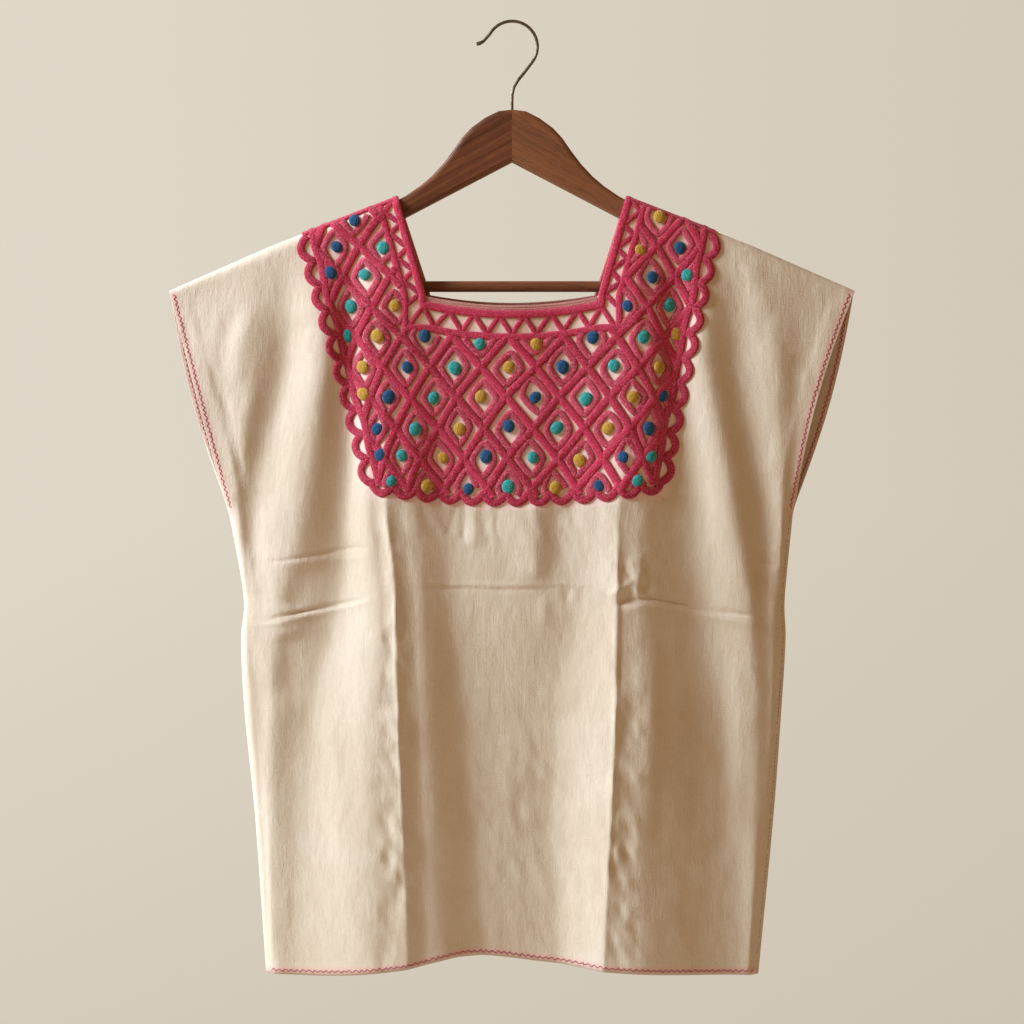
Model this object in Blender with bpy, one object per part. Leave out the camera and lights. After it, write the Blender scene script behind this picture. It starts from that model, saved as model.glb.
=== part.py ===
"""A square-neck cotton blouse with an embroidered yoke, hanging on a flat wooden hanger.

The origin is the underside of the hook's bend, where a rail bears. X runs along the
hanger, the front faces -Y and Z is up. Sizes are in millimetres, and MM turns them to
Blender's metres when a mesh is made. The cloth is worked out in the front view: a point
(x, z) of a panel goes out to the depth that the shoulder, the seams and the folds give it.
"""

import math

import bmesh
import bpy
from mathutils import Vector
from mathutils.geometry import delaunay_2d_cdt

MM = 0.001

# Cloth and thread
CLOTH = 1.3             # thickness of a panel
SEAM_GAP = 0.3          # between two pieces at a seam
STITCH_BED = 1.1        # embroidery under its ribs
RIB_RISE = 1.7          # ribs above that bed
EDGE_RISE = 1.3         # the same at the embroidery's border
RIB_SLOPE = 1.3         # run of a rib's flank
BAND_SLOPE = 0.9        # run of a flank in the zigzag band
DOT_RISE = 1.6          # a filled dot above the bed
DOT_RADIUS = 4.6
DOT_TOP_SHARE = 0.62    # radius of a dot's flat top, of its foot
LEAST_DOT = 2.0         # a dot with less room than this radius is left out
DOT_SIDES = 6

# Outline of the blouse in the front view. Z is below the rail.
SHOULDER = [(100, -153.0), (211, -196.0), (301, -235.5)]   # x, z: neck, hanger end, cuff
SHOULDER_COS = 0.92     # cosine of the shoulder's slope
UNDERARM_Z = -430
SIDE_SEAM = [           # z, left x, right x
    (-430, -249, 247),
    (-485, -238.5, 241.5),
    (-512, -235.5, 239.5),
    (-540, -238, 240.5),
    (-600, -235.5, 237),
    (-695, -226, 230),
    (-835, -216, 216.5),
]
NECK_FRONT = {"corner_x": 75, "corner_z": -241.5, "middle_z": -249.5}
NECK_BACK = {"corner_x": 72, "corner_z": -238.5, "middle_z": -245.0}
CUFF_BOW = {"front": -3.5, "back": 7.0}                  # how far a cuff's edge bows outwards
HEM = {                 # x, z along the lower edge
    "front": [(-216, -833.5), (-163, -833.5), (-97, -827), (-38, -816.5), (28, -822.5),
              (82, -828.5), (150, -833), (216.5, -835)],
    "back": [(-216, -833.5), (-110, -828), (0, -823), (110, -828), (216.5, -835)],
}

# Depth of the cloth from the middle plane
FOLD_LEVELS = (-300, -430, -600, -835)     # z of the four places that a fold row gives
CUFF_OPENING = 16.0     # how far a cuff's edge is let out from the closed seam
SEAM_ROUND = 24.0       # width over which a panel rounds in to its side seam
FRONT_FOLDS = [         # name, four x, four depths, crease from 0 (round) to 1 (sharp)
    ("sleeve valley", (-195, -229, -232, -212), (11, 11, 11, 11), 0),
    ("sleeve ridge", (-165, -184, -223, -208), (18, 20, 15, 13), 0),
    ("side valley", (-143, -149, -180, -199), (11, 11, 11, 12), 0),
    ("left crease", (-113, -110, -98, -92), (18, 25, 34, 38), 0.55),
    ("middle valley", (-50, -42, -18, -6), (12, 13, 11, 13), 0),
    ("right crease", (109, 93, 90, 77), (19, 26, 35, 38), 0.9),
    ("right valley", (143, 149, 169, 187), (11, 11, 11, 13), 0),
    ("right ridge", (167, 184, 214, 204), (18, 20, 16, 16), 0),
    ("sleeve valley right", (199, 219, 227, 209), (11, 11, 12, 12), 0),
    ("sleeve ridge right", (233, 234, 233, 213), (12, 12, 9, 10), 0),
]
BACK_FOLDS = [
    ("sleeve valley", (-205, -221, -226, -210), (11, 11, 12, 12), 0),
    ("left ridge", (-150, -152, -150, -146), (15, 20, 26, 30), 0),
    ("left valley", (-96, -92, -88, -84), (12, 13, 13, 14), 0),
    ("middle ridge", (-15, -12, -4, 0), (15, 22, 29, 33), 0.3),
    ("right valley", (78, 76, 80, 82), (12, 13, 13, 14), 0),
    ("right ridge", (146, 150, 152, 148), (15, 20, 26, 30), 0),
    ("sleeve valley right", (205, 219, 227, 210), (11, 11, 12, 12), 0),
]
EDGE_DEPTH = 11.0       # fold depth carried to the side seams and cuffs
NECK_DEPTH = 9.0        # over the hanger arms
TIP_DEPTH = 5.0         # at the cuff end of the shoulder, past the hanger
FOLDS_START = (10, 95)  # below the shoulder the folds grow between these distances

# Embroidered yokes: half widths are to the base of the scallops
FRONT_YOKE = {"top": (-200, 179, 173), "bottom": (-400, 124, 132), "low_z": -416,
              "low_rise": 11, "low_count": 13, "side_count": 10, "first_z": -290.5}
BACK_YOKE = {"top": (-200, 173, 176), "bottom": (-400, 128, 128), "low_z": -348,
             "low_rise": 8, "low_count": 15, "side_count": 7, "first_z": -288}
SCALLOP_RISE = 7.5
SIDE_BOW = -2.0              # of the scallops' base along the sides, outwards
LATTICE_HALF_STEP = 0.145    # share of the yoke's half width between a cell and the next row's
LATTICE_ROW = 26.0           # height between rows of cells
LATTICE_ROWS = range(-5, 7)      # rows and columns that cover the yoke, counted from
LATTICE_COLUMNS = range(-7, 8)   # the neck's middle down and to both sides
RIB_HALF = 5.6
BORDER = 5.0                 # plain border inside the scallops
BAND_WIDTH = 21.0            # zigzag band round the neck
CORD = 4.6                   # plain cords on both sides of the band
ZIGZAG_HALF = 1.5
ZIGZAG_ACROSS = 12           # half waves of the zigzag under the neck, and beside it
ZIGZAG_STRAP = 6
SHOULDER_PLAIN = 12.0        # kept free of cells along the top fold
LEAST_CELL = 60.0            # a clipped cell smaller than this many mm2 is left out

# Mesh spacing
ROW_STEP = 32.0
COLUMN_STEP = 24.0
EDGE_STEP = 22.0
ROUND_STEPS = (0.9, 4.0, 9.5)    # rows that follow the round of a seam
CLEAR = 6.5                      # least distance of a loose point from an outline
NEAR = 1.5                       # the same in the embroidery

# Hanger
ARM_TOP = [(0, -76.6), (12, -78), (24, -84), (36, -92.8), (44.5, -102), (52.4, -113.5),
           (61, -124.8), (71, -135.5), (81, -144), (94, -152.8), (101, -156.4)]
ARM_END = [(210.5, -199.0), (214.5, -204), (214.5, -230), (210, -238), (202, -241.5), (195, -236),
           (182, -218)]
ARM_NOTCH_Z = -122.8
ARM_THICK = 12.0
ARM_ROUND = 4.0
BAR_Z = -231.9
BAR_RADIUS = 4.8
BAR_HALF = 203.0
SOCKET_HALF = 204.0
WIRE_RADIUS = 1.4
HOOK_RADIUS = 22.4
HOOK_ARC = (150, -38)            # degrees, from the tip side round to the shank side
HOOK_TIP = [(-31.1, -18.7), (-28.6, -18.2), (-25.2, -16.4)]
HOOK_SHANK = [(11.0, -43.6), (5.4, -50.4), (1.6, -56.8), (0.2, -63.0), (0, -70.0), (0, -94.0)]
HOOK_HOLE_DEPTH = 18.5
FIT_GAP = 0.3


def clear_scene():
    for obj in list(bpy.data.objects):
        bpy.data.objects.remove(obj)


def make_material(name, colour, roughness, metallic=0.0):
    material = bpy.data.materials.new(name)
    material.use_nodes = True
    shader = material.node_tree.nodes["Principled BSDF"]
    shader.inputs["Base Color"].default_value = (*colour, 1)
    shader.inputs["Roughness"].default_value = roughness
    shader.inputs["Metallic"].default_value = metallic
    return material


def smooth(t):
    t = min(max(t, 0), 1)
    return t * t * (3 - 2 * t)


def through(places, values, at):
    """A smooth curve through the values at the places, which rise or fall steadily."""
    if places[0] > places[-1]:
        places, values = places[::-1], values[::-1]
    if at <= places[0]:
        return values[0]
    if at >= places[-1]:
        return values[-1]
    i = next(k for k in range(len(places) - 1) if at <= places[k + 1])
    slopes = []
    for k in (i, i + 1):
        low, high = max(k - 1, 0), min(k + 1, len(places) - 1)
        slopes.append((values[high] - values[low]) / (places[high] - places[low]))
    span = places[i + 1] - places[i]
    t = (at - places[i]) / span
    start, end = values[i], values[i + 1]
    rise = start + (end - start) * smooth(t)
    return rise + span * (slopes[0] * t * (1 - t) ** 2 - slopes[1] * t * t * (1 - t))


def round_share(distance, width):
    """0 on a seam, rising as a quarter ellipse to 1 at this width from it."""
    return math.sqrt(max(0, 1 - (1 - min(distance / width, 1)) ** 2))


def shoulder_z(x):
    x = abs(x)
    if x <= SHOULDER[0][0]:
        return SHOULDER[0][1]
    for (x0, z0), (x1, z1) in zip(SHOULDER, SHOULDER[1:]):
        if x <= x1:
            return z0 + (z1 - z0) * (x - x0) / (x1 - x0)
    return SHOULDER[-1][1]


def cuff_share(z):
    """0 at the cuff's top, 1 at the underarm."""
    tip_z = SHOULDER[-1][1]
    return min(max((z - tip_z) / (UNDERARM_Z - tip_z), 0), 1)


def side_x(z, side, bow):
    """The x of the cuff or side seam at this height. Side is 1 for the left, 2 for the right."""
    sign = -1 if side == 1 else 1
    if z < UNDERARM_Z:
        return through([r[0] for r in SIDE_SEAM], [r[side] for r in SIDE_SEAM], z)
    t = cuff_share(z)
    tip, end = sign * SHOULDER[-1][0], SIDE_SEAM[0][side]
    return tip + (end - tip) * t + sign * bow * math.sin(math.pi * t)


class Panel:
    """The form of the front or the back: its outline and its depth at each place of the front view."""

    def __init__(self, face, folds, neck):
        self.face = face
        self.folds = folds
        self.neck = neck
        self.sign = -1 if face == "front" else 1

    def edge_x(self, z, side):
        return side_x(z, side, CUFF_BOW[self.face])

    def fold_depth(self, x, z):
        nodes = [(self.edge_x(z, 1) - 1, EDGE_DEPTH, 0)]
        for _, places, depths, crease in self.folds:
            nodes.append((through(FOLD_LEVELS, places, z), through(FOLD_LEVELS, depths, z), crease))
        nodes.append((self.edge_x(z, 2) + 1, EDGE_DEPTH, 0))
        nodes.sort()
        x = min(max(x, nodes[0][0]), nodes[-1][0])
        i = next(k for k in range(len(nodes) - 1) if x <= nodes[k + 1][0])
        (x0, d0, crease0), (x1, d1, crease1) = nodes[i], nodes[i + 1]
        t = (x - x0) / max(x1 - x0, 0.001)
        ease = smooth(t) + 1.4 * (crease0 * t * (1 - t) ** 2 - crease1 * t * t * (1 - t))
        return d0 + (d1 - d0) * ease

    def depth(self, x, z):
        """Distance of the panel's outer face from its seams' plane."""
        below = (shoulder_z(x) - z) * SHOULDER_COS
        past_hanger = smooth((abs(x) - SHOULDER[1][0] + 10) / 90)
        base = NECK_DEPTH + (TIP_DEPTH - NECK_DEPTH) * past_hanger
        start, full = FOLDS_START
        folded = base + (self.fold_depth(x, z) - base) * smooth((below - start) / (full - start))
        nearest = min(x - self.edge_x(z, 1), self.edge_x(z, 2) - x)
        let_out = CUFF_OPENING * (1 - cuff_share(z) ** 3)
        return folded * round_share(max(below, 0), base) * round_share(max(nearest + let_out, 0), SEAM_ROUND)

    def place(self, x, z):
        return Vector((x, self.sign * (SEAM_GAP / 2 + self.depth(x, z)), z))

    def neck_line(self):
        """From the left shoulder down, across and up to the right shoulder."""
        corner_x, corner_z = self.neck["corner_x"], self.neck["corner_z"]
        top_x, top_z = SHOULDER[0]
        across = []
        for k in range(-4, 5):
            sag = (self.neck["middle_z"] - corner_z) * (1 - (k / 4) ** 2)
            across.append((corner_x * k / 4, corner_z + sag))
        side = line((top_x, top_z), (corner_x, corner_z), round_start=True)[:-1]
        left = [(-x, z) for x, z in side]
        return left + across + side[::-1]

    def hem_z(self, x):
        rows = HEM[self.face]
        return through([r[0] for r in rows], [r[1] for r in rows], x)


def line(a, b, round_start=False, round_end=False, step=EDGE_STEP):
    """Points from a to b, closer together where a seam's round begins or ends."""
    length = math.dist(a, b)
    steps = [s for s in ROUND_STEPS if s < length - 0.5]
    places = [0.0, length]
    places += steps if round_start else []
    places += [length - s for s in steps] if round_end else []
    places.sort()
    filled = [places[0]]
    for place in places[1:]:
        count = max(1, round((place - filled[-1]) / step))
        start = filled[-1]
        filled += [start + (place - start) * (k + 1) / count for k in range(count)]
    return [(a[0] + (b[0] - a[0]) * s / length, a[1] + (b[1] - a[1]) * s / length) for s in filled]


def panel_outline(panel, extra_shoulder_x):
    """(points, is_seam flags) round a panel, anticlockwise seen from the front, from the left neck point."""
    (neck_x, neck_z), _, (tip_x, tip_z) = SHOULDER
    hem_left, hem_right = SIDE_SEAM[-1][1], SIDE_SEAM[-1][2]

    def shoulder(side):
        sign = -1 if side == 1 else 1
        xs = {neck_x, tip_x, SHOULDER[1][0]}
        xs |= {neck_x + (tip_x - neck_x) * k / 10 for k in range(11)}
        fixed = [abs(x) for x in extra_shoulder_x if x * sign > 0]
        xs = {x for x in xs if all(abs(x - f) > CLEAR for f in fixed)} | set(fixed)
        xs |= {tip_x - s for s in ROUND_STEPS}
        return [(sign * x, shoulder_z(x)) for x in sorted(xs)]

    def cuff(side):
        raw = line((0, tip_z), (0, UNDERARM_Z), round_start=True, round_end=True)
        return [(panel.edge_x(z, side), z) for _, z in raw]

    def seam(side):
        end_z = SIDE_SEAM[-1][0]
        count = round((UNDERARM_Z - end_z) / EDGE_STEP)
        zs = [UNDERARM_Z + (end_z - UNDERARM_Z) * k / count for k in range(count)]
        return [(panel.edge_x(z, side), z) for z in zs[1:]]

    hem = [(x, panel.hem_z(x)) for x, _ in line((hem_left, 0), (hem_right, 0), True, True)]
    parts = [
        (panel.neck_line(), False),
        (shoulder(2)[1:], True),
        (cuff(2)[1:], False),
        (seam(2), True),
        (hem[::-1], False),
        (seam(1)[::-1], True),
        (cuff(1)[::-1], False),
        (shoulder(1)[::-1][1:-1], True),
    ]
    points, on_seam = [], []
    for part, seam_part in parts:
        points += part
        on_seam += [seam_part] * len(part)
    for i, (x, z) in enumerate(points):
        corner = (abs(x) == neck_x and z == neck_z) or (abs(x), z) == (tip_x, tip_z)
        on_seam[i] = on_seam[i] or corner or z == UNDERARM_Z or (x, z) in (hem[0], hem[-1])
    return points, on_seam


def inside(point, polygon):
    x, z = point
    found = False
    for (x0, z0), (x1, z1) in zip(polygon, polygon[1:] + polygon[:1]):
        if (z0 > z) != (z1 > z) and x < x0 + (z - z0) * (x1 - x0) / (z1 - z0):
            found = not found
    return found


def distance_to(point, a, b):
    a, b, p = Vector(a), Vector(b), Vector(point)
    along = b - a
    t = min(max((p - a).dot(along) / along.length_squared, 0), 1)
    return (a + along * t - p).length


def clear_of(point, chains, least):
    return all(distance_to(point, a, b) >= least for chain in chains for a, b in zip(chain, chain[1:]))


def seam_runs(on_seam):
    """Lists of outline indices, one for each unbroken seam."""
    count = len(on_seam)
    runs = []
    for start in range(count):
        if on_seam[start] and not on_seam[start - 1]:
            run = [start]
            while on_seam[(run[-1] + 1) % count]:
                run.append((run[-1] + 1) % count)
            runs.append(run)
    return runs


def seam_rows(outline, on_seam, scallops):
    """Lines beside each seam that follow its round, broken where the scallops meet the shoulder."""
    count = len(outline)
    rows = []
    for run in seam_runs(on_seam):
        for k, step in enumerate(ROUND_STEPS):
            row = []
            for i in run:
                before, here, after = outline[i - 1], outline[i], outline[(i + 1) % count]
                if i == run[0]:
                    spot = outline[i - 1 - k]
                elif i == run[-1]:
                    spot = outline[(i + 1 + k) % count]
                elif here in (scallops[0], scallops[-1]):
                    spot = scallops[1 + k] if here == scallops[0] else scallops[-2 - k]
                    rows.append(row + [spot])
                    row = []
                else:
                    along = Vector((after[0] - before[0], after[1] - before[1])).normalized()
                    spot = (here[0] - along.y * step, here[1] + along.x * step)
                    spot = spot if inside(spot, outline) else (here[0] + along.y * step, here[1] - along.x * step)
                if here[1] != UNDERARM_Z:
                    row.append(spot)
            rows.append(row)
    return rows


def loose_points(panel, outline, chains):
    """Points inside a panel in rows across it, which follow the folds."""
    points = []
    ring = outline + outline[:1]
    z = SHOULDER[0][1] - CLEAR
    while z > SIDE_SEAM[-1][0]:
        left, right = panel.edge_x(z, 1), panel.edge_x(z, 2)
        xs = sorted([through(FOLD_LEVELS, places, z) for _, places, _, _ in panel.folds])
        xs = [left] + [x for x in xs if left < x < right] + [right]
        for x0, x1 in zip(xs, xs[1:]):
            parts = max(1, math.ceil((x1 - x0) / COLUMN_STEP))
            for k in range(parts):
                spot = (x0 + (x1 - x0) * k / parts, z)
                if inside(spot, outline) and clear_of(spot, chains + [ring], CLEAR):
                    if all(math.dist(spot, other) > CLEAR for other in points):
                        points.append(spot)
        z -= ROW_STEP
    return points


def triangulate(loops, chains, points):
    """(points, triangles) of the first loop's inside, with every loop and chain kept as edges."""
    spots, edges = [], []
    for loop in loops:
        start = len(spots)
        spots += loop
        edges += [(start + k, start + (k + 1) % len(loop)) for k in range(len(loop))]
    for chain in chains:
        start = len(spots)
        spots += chain
        edges += [(start + k, start + k + 1) for k in range(len(chain) - 1)]
    spots += points
    inside_edges = 1
    found = delaunay_2d_cdt([Vector(p) for p in spots], edges, [], inside_edges, 0.001)
    return found[0], [tuple(face) for face in found[2]], found[3]


def boundary_edges(faces):
    """Directed edges with one face, in the order that the faces use them."""
    directed = {(f[k], f[(k + 1) % 3]) for f in faces for k in range(3)}
    return [(a, b) for a, b in directed if (b, a) not in directed]


def make_object(name, material, points, faces):
    mesh = bpy.data.meshes.new(name)
    mesh.from_pydata([Vector(p) * MM for p in points], [], faces)
    body = bmesh.new()
    body.from_mesh(mesh)
    bmesh.ops.recalc_face_normals(body, faces=body.faces)
    body.to_mesh(mesh)
    body.free()
    mesh.shade_smooth()
    mesh.set_sharp_from_angle(angle=math.radians(40))
    mesh.materials.append(material)
    obj = bpy.data.objects.new(name, mesh)
    bpy.context.collection.objects.link(obj)
    return obj


def wall(outer, inner, outer_faces, inner_faces, rim):
    """Points and faces of a closed wall. Rim pairs each outer boundary point with an inner one."""
    shift = len(outer)
    faces = list(outer_faces) + [tuple(i + shift for i in f[::-1]) for f in inner_faces]
    for a, b in boundary_edges(outer_faces):
        c, d = rim[b] + shift, rim[a] + shift
        faces += [(b, a, d), (b, d, c)]
    return outer + inner, faces


def face_normals(places, faces, sign, flat_points):
    """Outward normals at the points of a panel's outer face. On a seam they lie in its plane."""
    normals = [Vector((0, 0, 0)) for _ in places]
    for a, b, c in faces:
        across = (places[b] - places[a]).cross(places[c] - places[a])
        if across.y * sign < 0:
            across = -across
        for i, j, k in ((a, b, c), (b, c, a), (c, a, b)):
            normals[i] += across.normalized() * (places[j] - places[i]).angle(places[k] - places[i], 0)
    for i in flat_points:
        normals[i].y = 0
    return [n.normalized() for n in normals]


class YokeDesign:
    """The embroidery's outline and its cells, in the front view."""

    def __init__(self, panel, sizes):
        self.panel = panel
        self.sizes = sizes
        self.neck = panel.neck_line()

    def half_width(self, z, side):
        z0, z1 = self.sizes["top"][0], self.sizes["bottom"][0]
        w0, w1 = self.sizes["top"][side], self.sizes["bottom"][side]
        return w0 + (w1 - w0) * (z - z0) / (z1 - z0)

    def low_z(self, x):
        half = self.half_width(self.sizes["low_z"], 2)
        return self.sizes["low_z"] + self.sizes["low_rise"] * (x / half) ** 2

    def corner(self, side):
        """Where the side meets the shoulder."""
        sign = -1 if side == 1 else 1
        x = SHOULDER[0][0]
        while x < self.half_width(shoulder_z(x), side):
            x += 0.5
        return (sign * x, shoulder_z(x))

    def scallops(self):
        """The lower edge from the left shoulder, round the bottom, to the right shoulder."""
        sizes = self.sizes
        lows = [self.half_width(sizes["low_z"] + sizes["low_rise"], side) for side in (1, 2)]
        left_top, right_top = self.corner(1), self.corner(2)
        left_low, right_low = (-lows[0], self.low_z(lows[0])), (lows[1], self.low_z(lows[1]))
        left_start, right_start = [
            mix(top, low, ROUND_STEPS[-1] / math.dist(top, low))
            for top, low in ((left_top, left_low), (right_top, right_low))
        ]
        side_count, low_count = sizes["side_count"], sizes["low_count"]
        bases = [bowed(left_start, left_low, k / side_count, SIDE_BOW) for k in range(side_count)]
        for k in range(low_count):
            x = -lows[0] + sum(lows) * k / low_count
            bases.append((x, self.low_z(x)))
        bases += [bowed(right_low, right_start, k / side_count, SIDE_BOW) for k in range(side_count + 1)]
        points = []
        for a, b in zip(bases, bases[1:]):
            along = (Vector(b) - Vector(a)).normalized()
            outward = Vector((along.y, -along.x))
            points.append(a)
            for share, rise in ((0.18, 0.75), (0.5, 1.0), (0.82, 0.75)):
                spot = Vector(mix(a, b, share)) + outward * SCALLOP_RISE * rise
                points.append((spot.x, spot.y))
        points.append(bases[-1])
        first = line(left_top, left_start, round_start=True)[:-1]
        last = line(right_start, right_top, round_end=True)[1:]
        return first + points + last

    def band_line(self, x):
        """z of the zigzag band's lower edge."""
        neck = self.panel.neck
        sag = (neck["middle_z"] - neck["corner_z"]) * (1 - min(abs(x) / neck["corner_x"], 1) ** 2)
        return neck["corner_z"] + sag - BAND_WIDTH

    def strap_x(self, z):
        """Distance of the band's outer edge from the middle, beside the neck."""
        (top_x, top_z), neck = SHOULDER[0], self.panel.neck
        t = (z - top_z) / (neck["corner_z"] - top_z)
        return top_x + (neck["corner_x"] - top_x) * t + BAND_WIDTH

    def cells(self):
        """Lattice cells, each clipped to its field, as convex polygons."""
        found = []
        neck = self.panel.neck
        corner_z = neck["corner_z"] - BAND_WIDTH
        for row in LATTICE_ROWS:
            for column in LATTICE_COLUMNS:
                if (row + column) % 2:
                    continue
                middle_z = self.sizes["first_z"] - (row - 0.5) * LATTICE_ROW
                share = column * LATTICE_HALF_STEP
                diamond = []
                for du, dz in ((1, 0), (0, 1), (-1, 0), (0, -1)):
                    z = middle_z + dz * LATTICE_ROW
                    u = share + du * LATTICE_HALF_STEP
                    diamond.append((u * self.half_width(z, 1 if u < 0 else 2), z))
                x = sum(p[0] for p in diamond) / 4
                cell = inset(diamond, RIB_HALF)
                cell = self.clip_to_field(cell, x, middle_z, corner_z)
                if area(cell) > LEAST_CELL:
                    found.append(cell)
        return found

    def clip_to_field(self, cell, x, z, corner_z):
        strap_corner = self.strap_x(corner_z)
        if z < corner_z and abs(x) < strap_corner:
            slope = (self.band_line(x + 1) - self.band_line(x - 1)) / 2
            cell = clip(cell, (x, self.band_line(x)), (slope, -1))
        else:
            sign = -1 if x < 0 else 1
            a, b = (sign * self.strap_x(z), z), (sign * self.strap_x(z + 10), z + 10)
            cell = clip(cell, a, (sign * (b[1] - a[1]), -sign * (b[0] - a[0])))
        for side, sign in ((1, -1), (2, 1)):
            a = (sign * (self.half_width(z, side) - BORDER), z)
            b = (sign * (self.half_width(z + 10, side) - BORDER), z + 10)
            cell = clip(cell, a, (-sign * (b[1] - a[1]), sign * (b[0] - a[0])))
        slope = (self.low_z(x + 1) - self.low_z(x - 1)) / 2
        cell = clip(cell, (x, self.low_z(x) + BORDER), (-slope, 1))
        sign = -1 if x < 0 else 1
        near, far = SHOULDER[0], SHOULDER[1]
        start = (sign * near[0], near[1] - SHOULDER_PLAIN / SHOULDER_COS)
        return clip(cell, start, (sign * (far[1] - near[1]), -(far[0] - near[0])))

    def band_cells(self):
        """Triangles between the cords of the band, along the neck's three sides."""
        neck = self.panel.neck
        found = []
        half = neck["corner_x"] - CORD
        upper, lower = [], []
        for k in range(ZIGZAG_ACROSS + 1):
            x = half * (2 * k / ZIGZAG_ACROSS - 1)
            upper.append((x, self.band_line(x) + BAND_WIDTH - CORD))
            lower.append((x, self.band_line(x) + CORD))
        found += zigzag(upper, lower)
        top = SHOULDER[0][1] - SHOULDER_PLAIN
        low = neck["corner_z"]
        for sign in (-1, 1):
            inner, outer = [], []
            for k in range(ZIGZAG_STRAP + 1):
                z = low + (top - low) * k / ZIGZAG_STRAP
                inner.append((sign * (self.strap_x(z) - BAND_WIDTH + CORD), z))
                outer.append((sign * (self.strap_x(z) - CORD), z))
            found += zigzag(inner, outer)
        return found


def mix(a, b, t):
    return (a[0] + (b[0] - a[0]) * t, a[1] + (b[1] - a[1]) * t)


def bowed(a, b, t, bow):
    """A point on the way from a to b, which bows to the left of that way."""
    along = (Vector(b) - Vector(a)).normalized()
    x, z = mix(a, b, t)
    rise = bow * 4 * t * (1 - t)
    return (x - along.y * rise, z + along.x * rise)


def area(polygon):
    if len(polygon) < 3:
        return 0
    pairs = zip(polygon, polygon[1:] + polygon[:1])
    return abs(sum(a[0] * b[1] - b[0] * a[1] for a, b in pairs)) / 2


def clip(polygon, point, keep):
    """The part of a convex polygon on the side of the point that keep points to."""
    def height(p):
        return (p[0] - point[0]) * keep[0] + (p[1] - point[1]) * keep[1]

    kept = []
    for a, b in zip(polygon, polygon[1:] + polygon[:1]):
        ha, hb = height(a), height(b)
        if ha >= 0:
            kept.append(a)
        if ha * hb < 0:
            kept.append(mix(a, b, ha / (ha - hb)))
    return kept


def inset(polygon, distance):
    """A convex polygon with each side moved inwards."""
    shrunk = polygon
    middle = Vector((sum(p[0] for p in polygon), sum(p[1] for p in polygon))) / max(len(polygon), 1)
    for a, b in zip(polygon, polygon[1:] + polygon[:1]):
        along = Vector(b) - Vector(a)
        if along.length < 0.01:
            continue
        normal = Vector((-along.y, along.x)).normalized()
        if normal.dot(middle - Vector(a)) < 0:
            normal = -normal
        shrunk = clip(shrunk, Vector(a) + normal * distance, normal)
    return shrunk


def zigzag(first, second):
    corners = [first[k] if k % 2 == 0 else second[k] for k in range(len(first))]
    return [inset(list(three), ZIGZAG_HALF) for three in zip(corners, corners[1:], corners[2:])]


def dot(polygon):
    """(foot ring, top ring) of a filled dot in the middle of a cell, or None where it has no room."""
    middle = Vector((sum(p[0] for p in polygon), sum(p[1] for p in polygon))) / len(polygon)
    ring = list(zip(polygon, polygon[1:] + polygon[:1]))
    room = min(distance_to(middle, a, b) for a, b in ring)
    radius = min(DOT_RADIUS, room - 0.8)
    if radius < LEAST_DOT:
        return None

    def circle(r):
        turns = [math.tau * k / DOT_SIDES for k in range(DOT_SIDES)]
        return [(middle.x + r * math.cos(t), middle.y + r * math.sin(t)) for t in turns]

    return circle(radius), circle(radius * DOT_TOP_SHARE)


def make_panel(name, panel, design, material):
    """One cotton panel. Returns what the embroidery needs to lie on it."""
    scallops = design.scallops()
    outline, on_seam = panel_outline(panel, [scallops[0][0], scallops[-1][0]])
    rows = seam_rows(outline, on_seam, scallops)
    points = loose_points(panel, outline, [scallops] + rows)
    places, faces, _ = triangulate([outline], [scallops] + rows, points)
    outer = [panel.place(p.x, p.y) for p in places]
    seam_spots = {(round(x, 2), round(z, 2)) for (x, z), s in zip(outline, on_seam) if s}
    flat = [i for i, p in enumerate(places) if (round(p.x, 2), round(p.y, 2)) in seam_spots]
    normals = face_normals(outer, faces, panel.sign, flat)
    inner = [p - n * CLOTH for p, n in zip(outer, normals)]
    for p in inner:
        p.y = panel.sign * max(panel.sign * p.y, SEAM_GAP / 2)
    rim = {i: i for i in range(len(outer))}
    make_object(name, material, *wall(outer, inner, faces, faces, rim))
    return places, faces, outer, normals, rows


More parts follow.
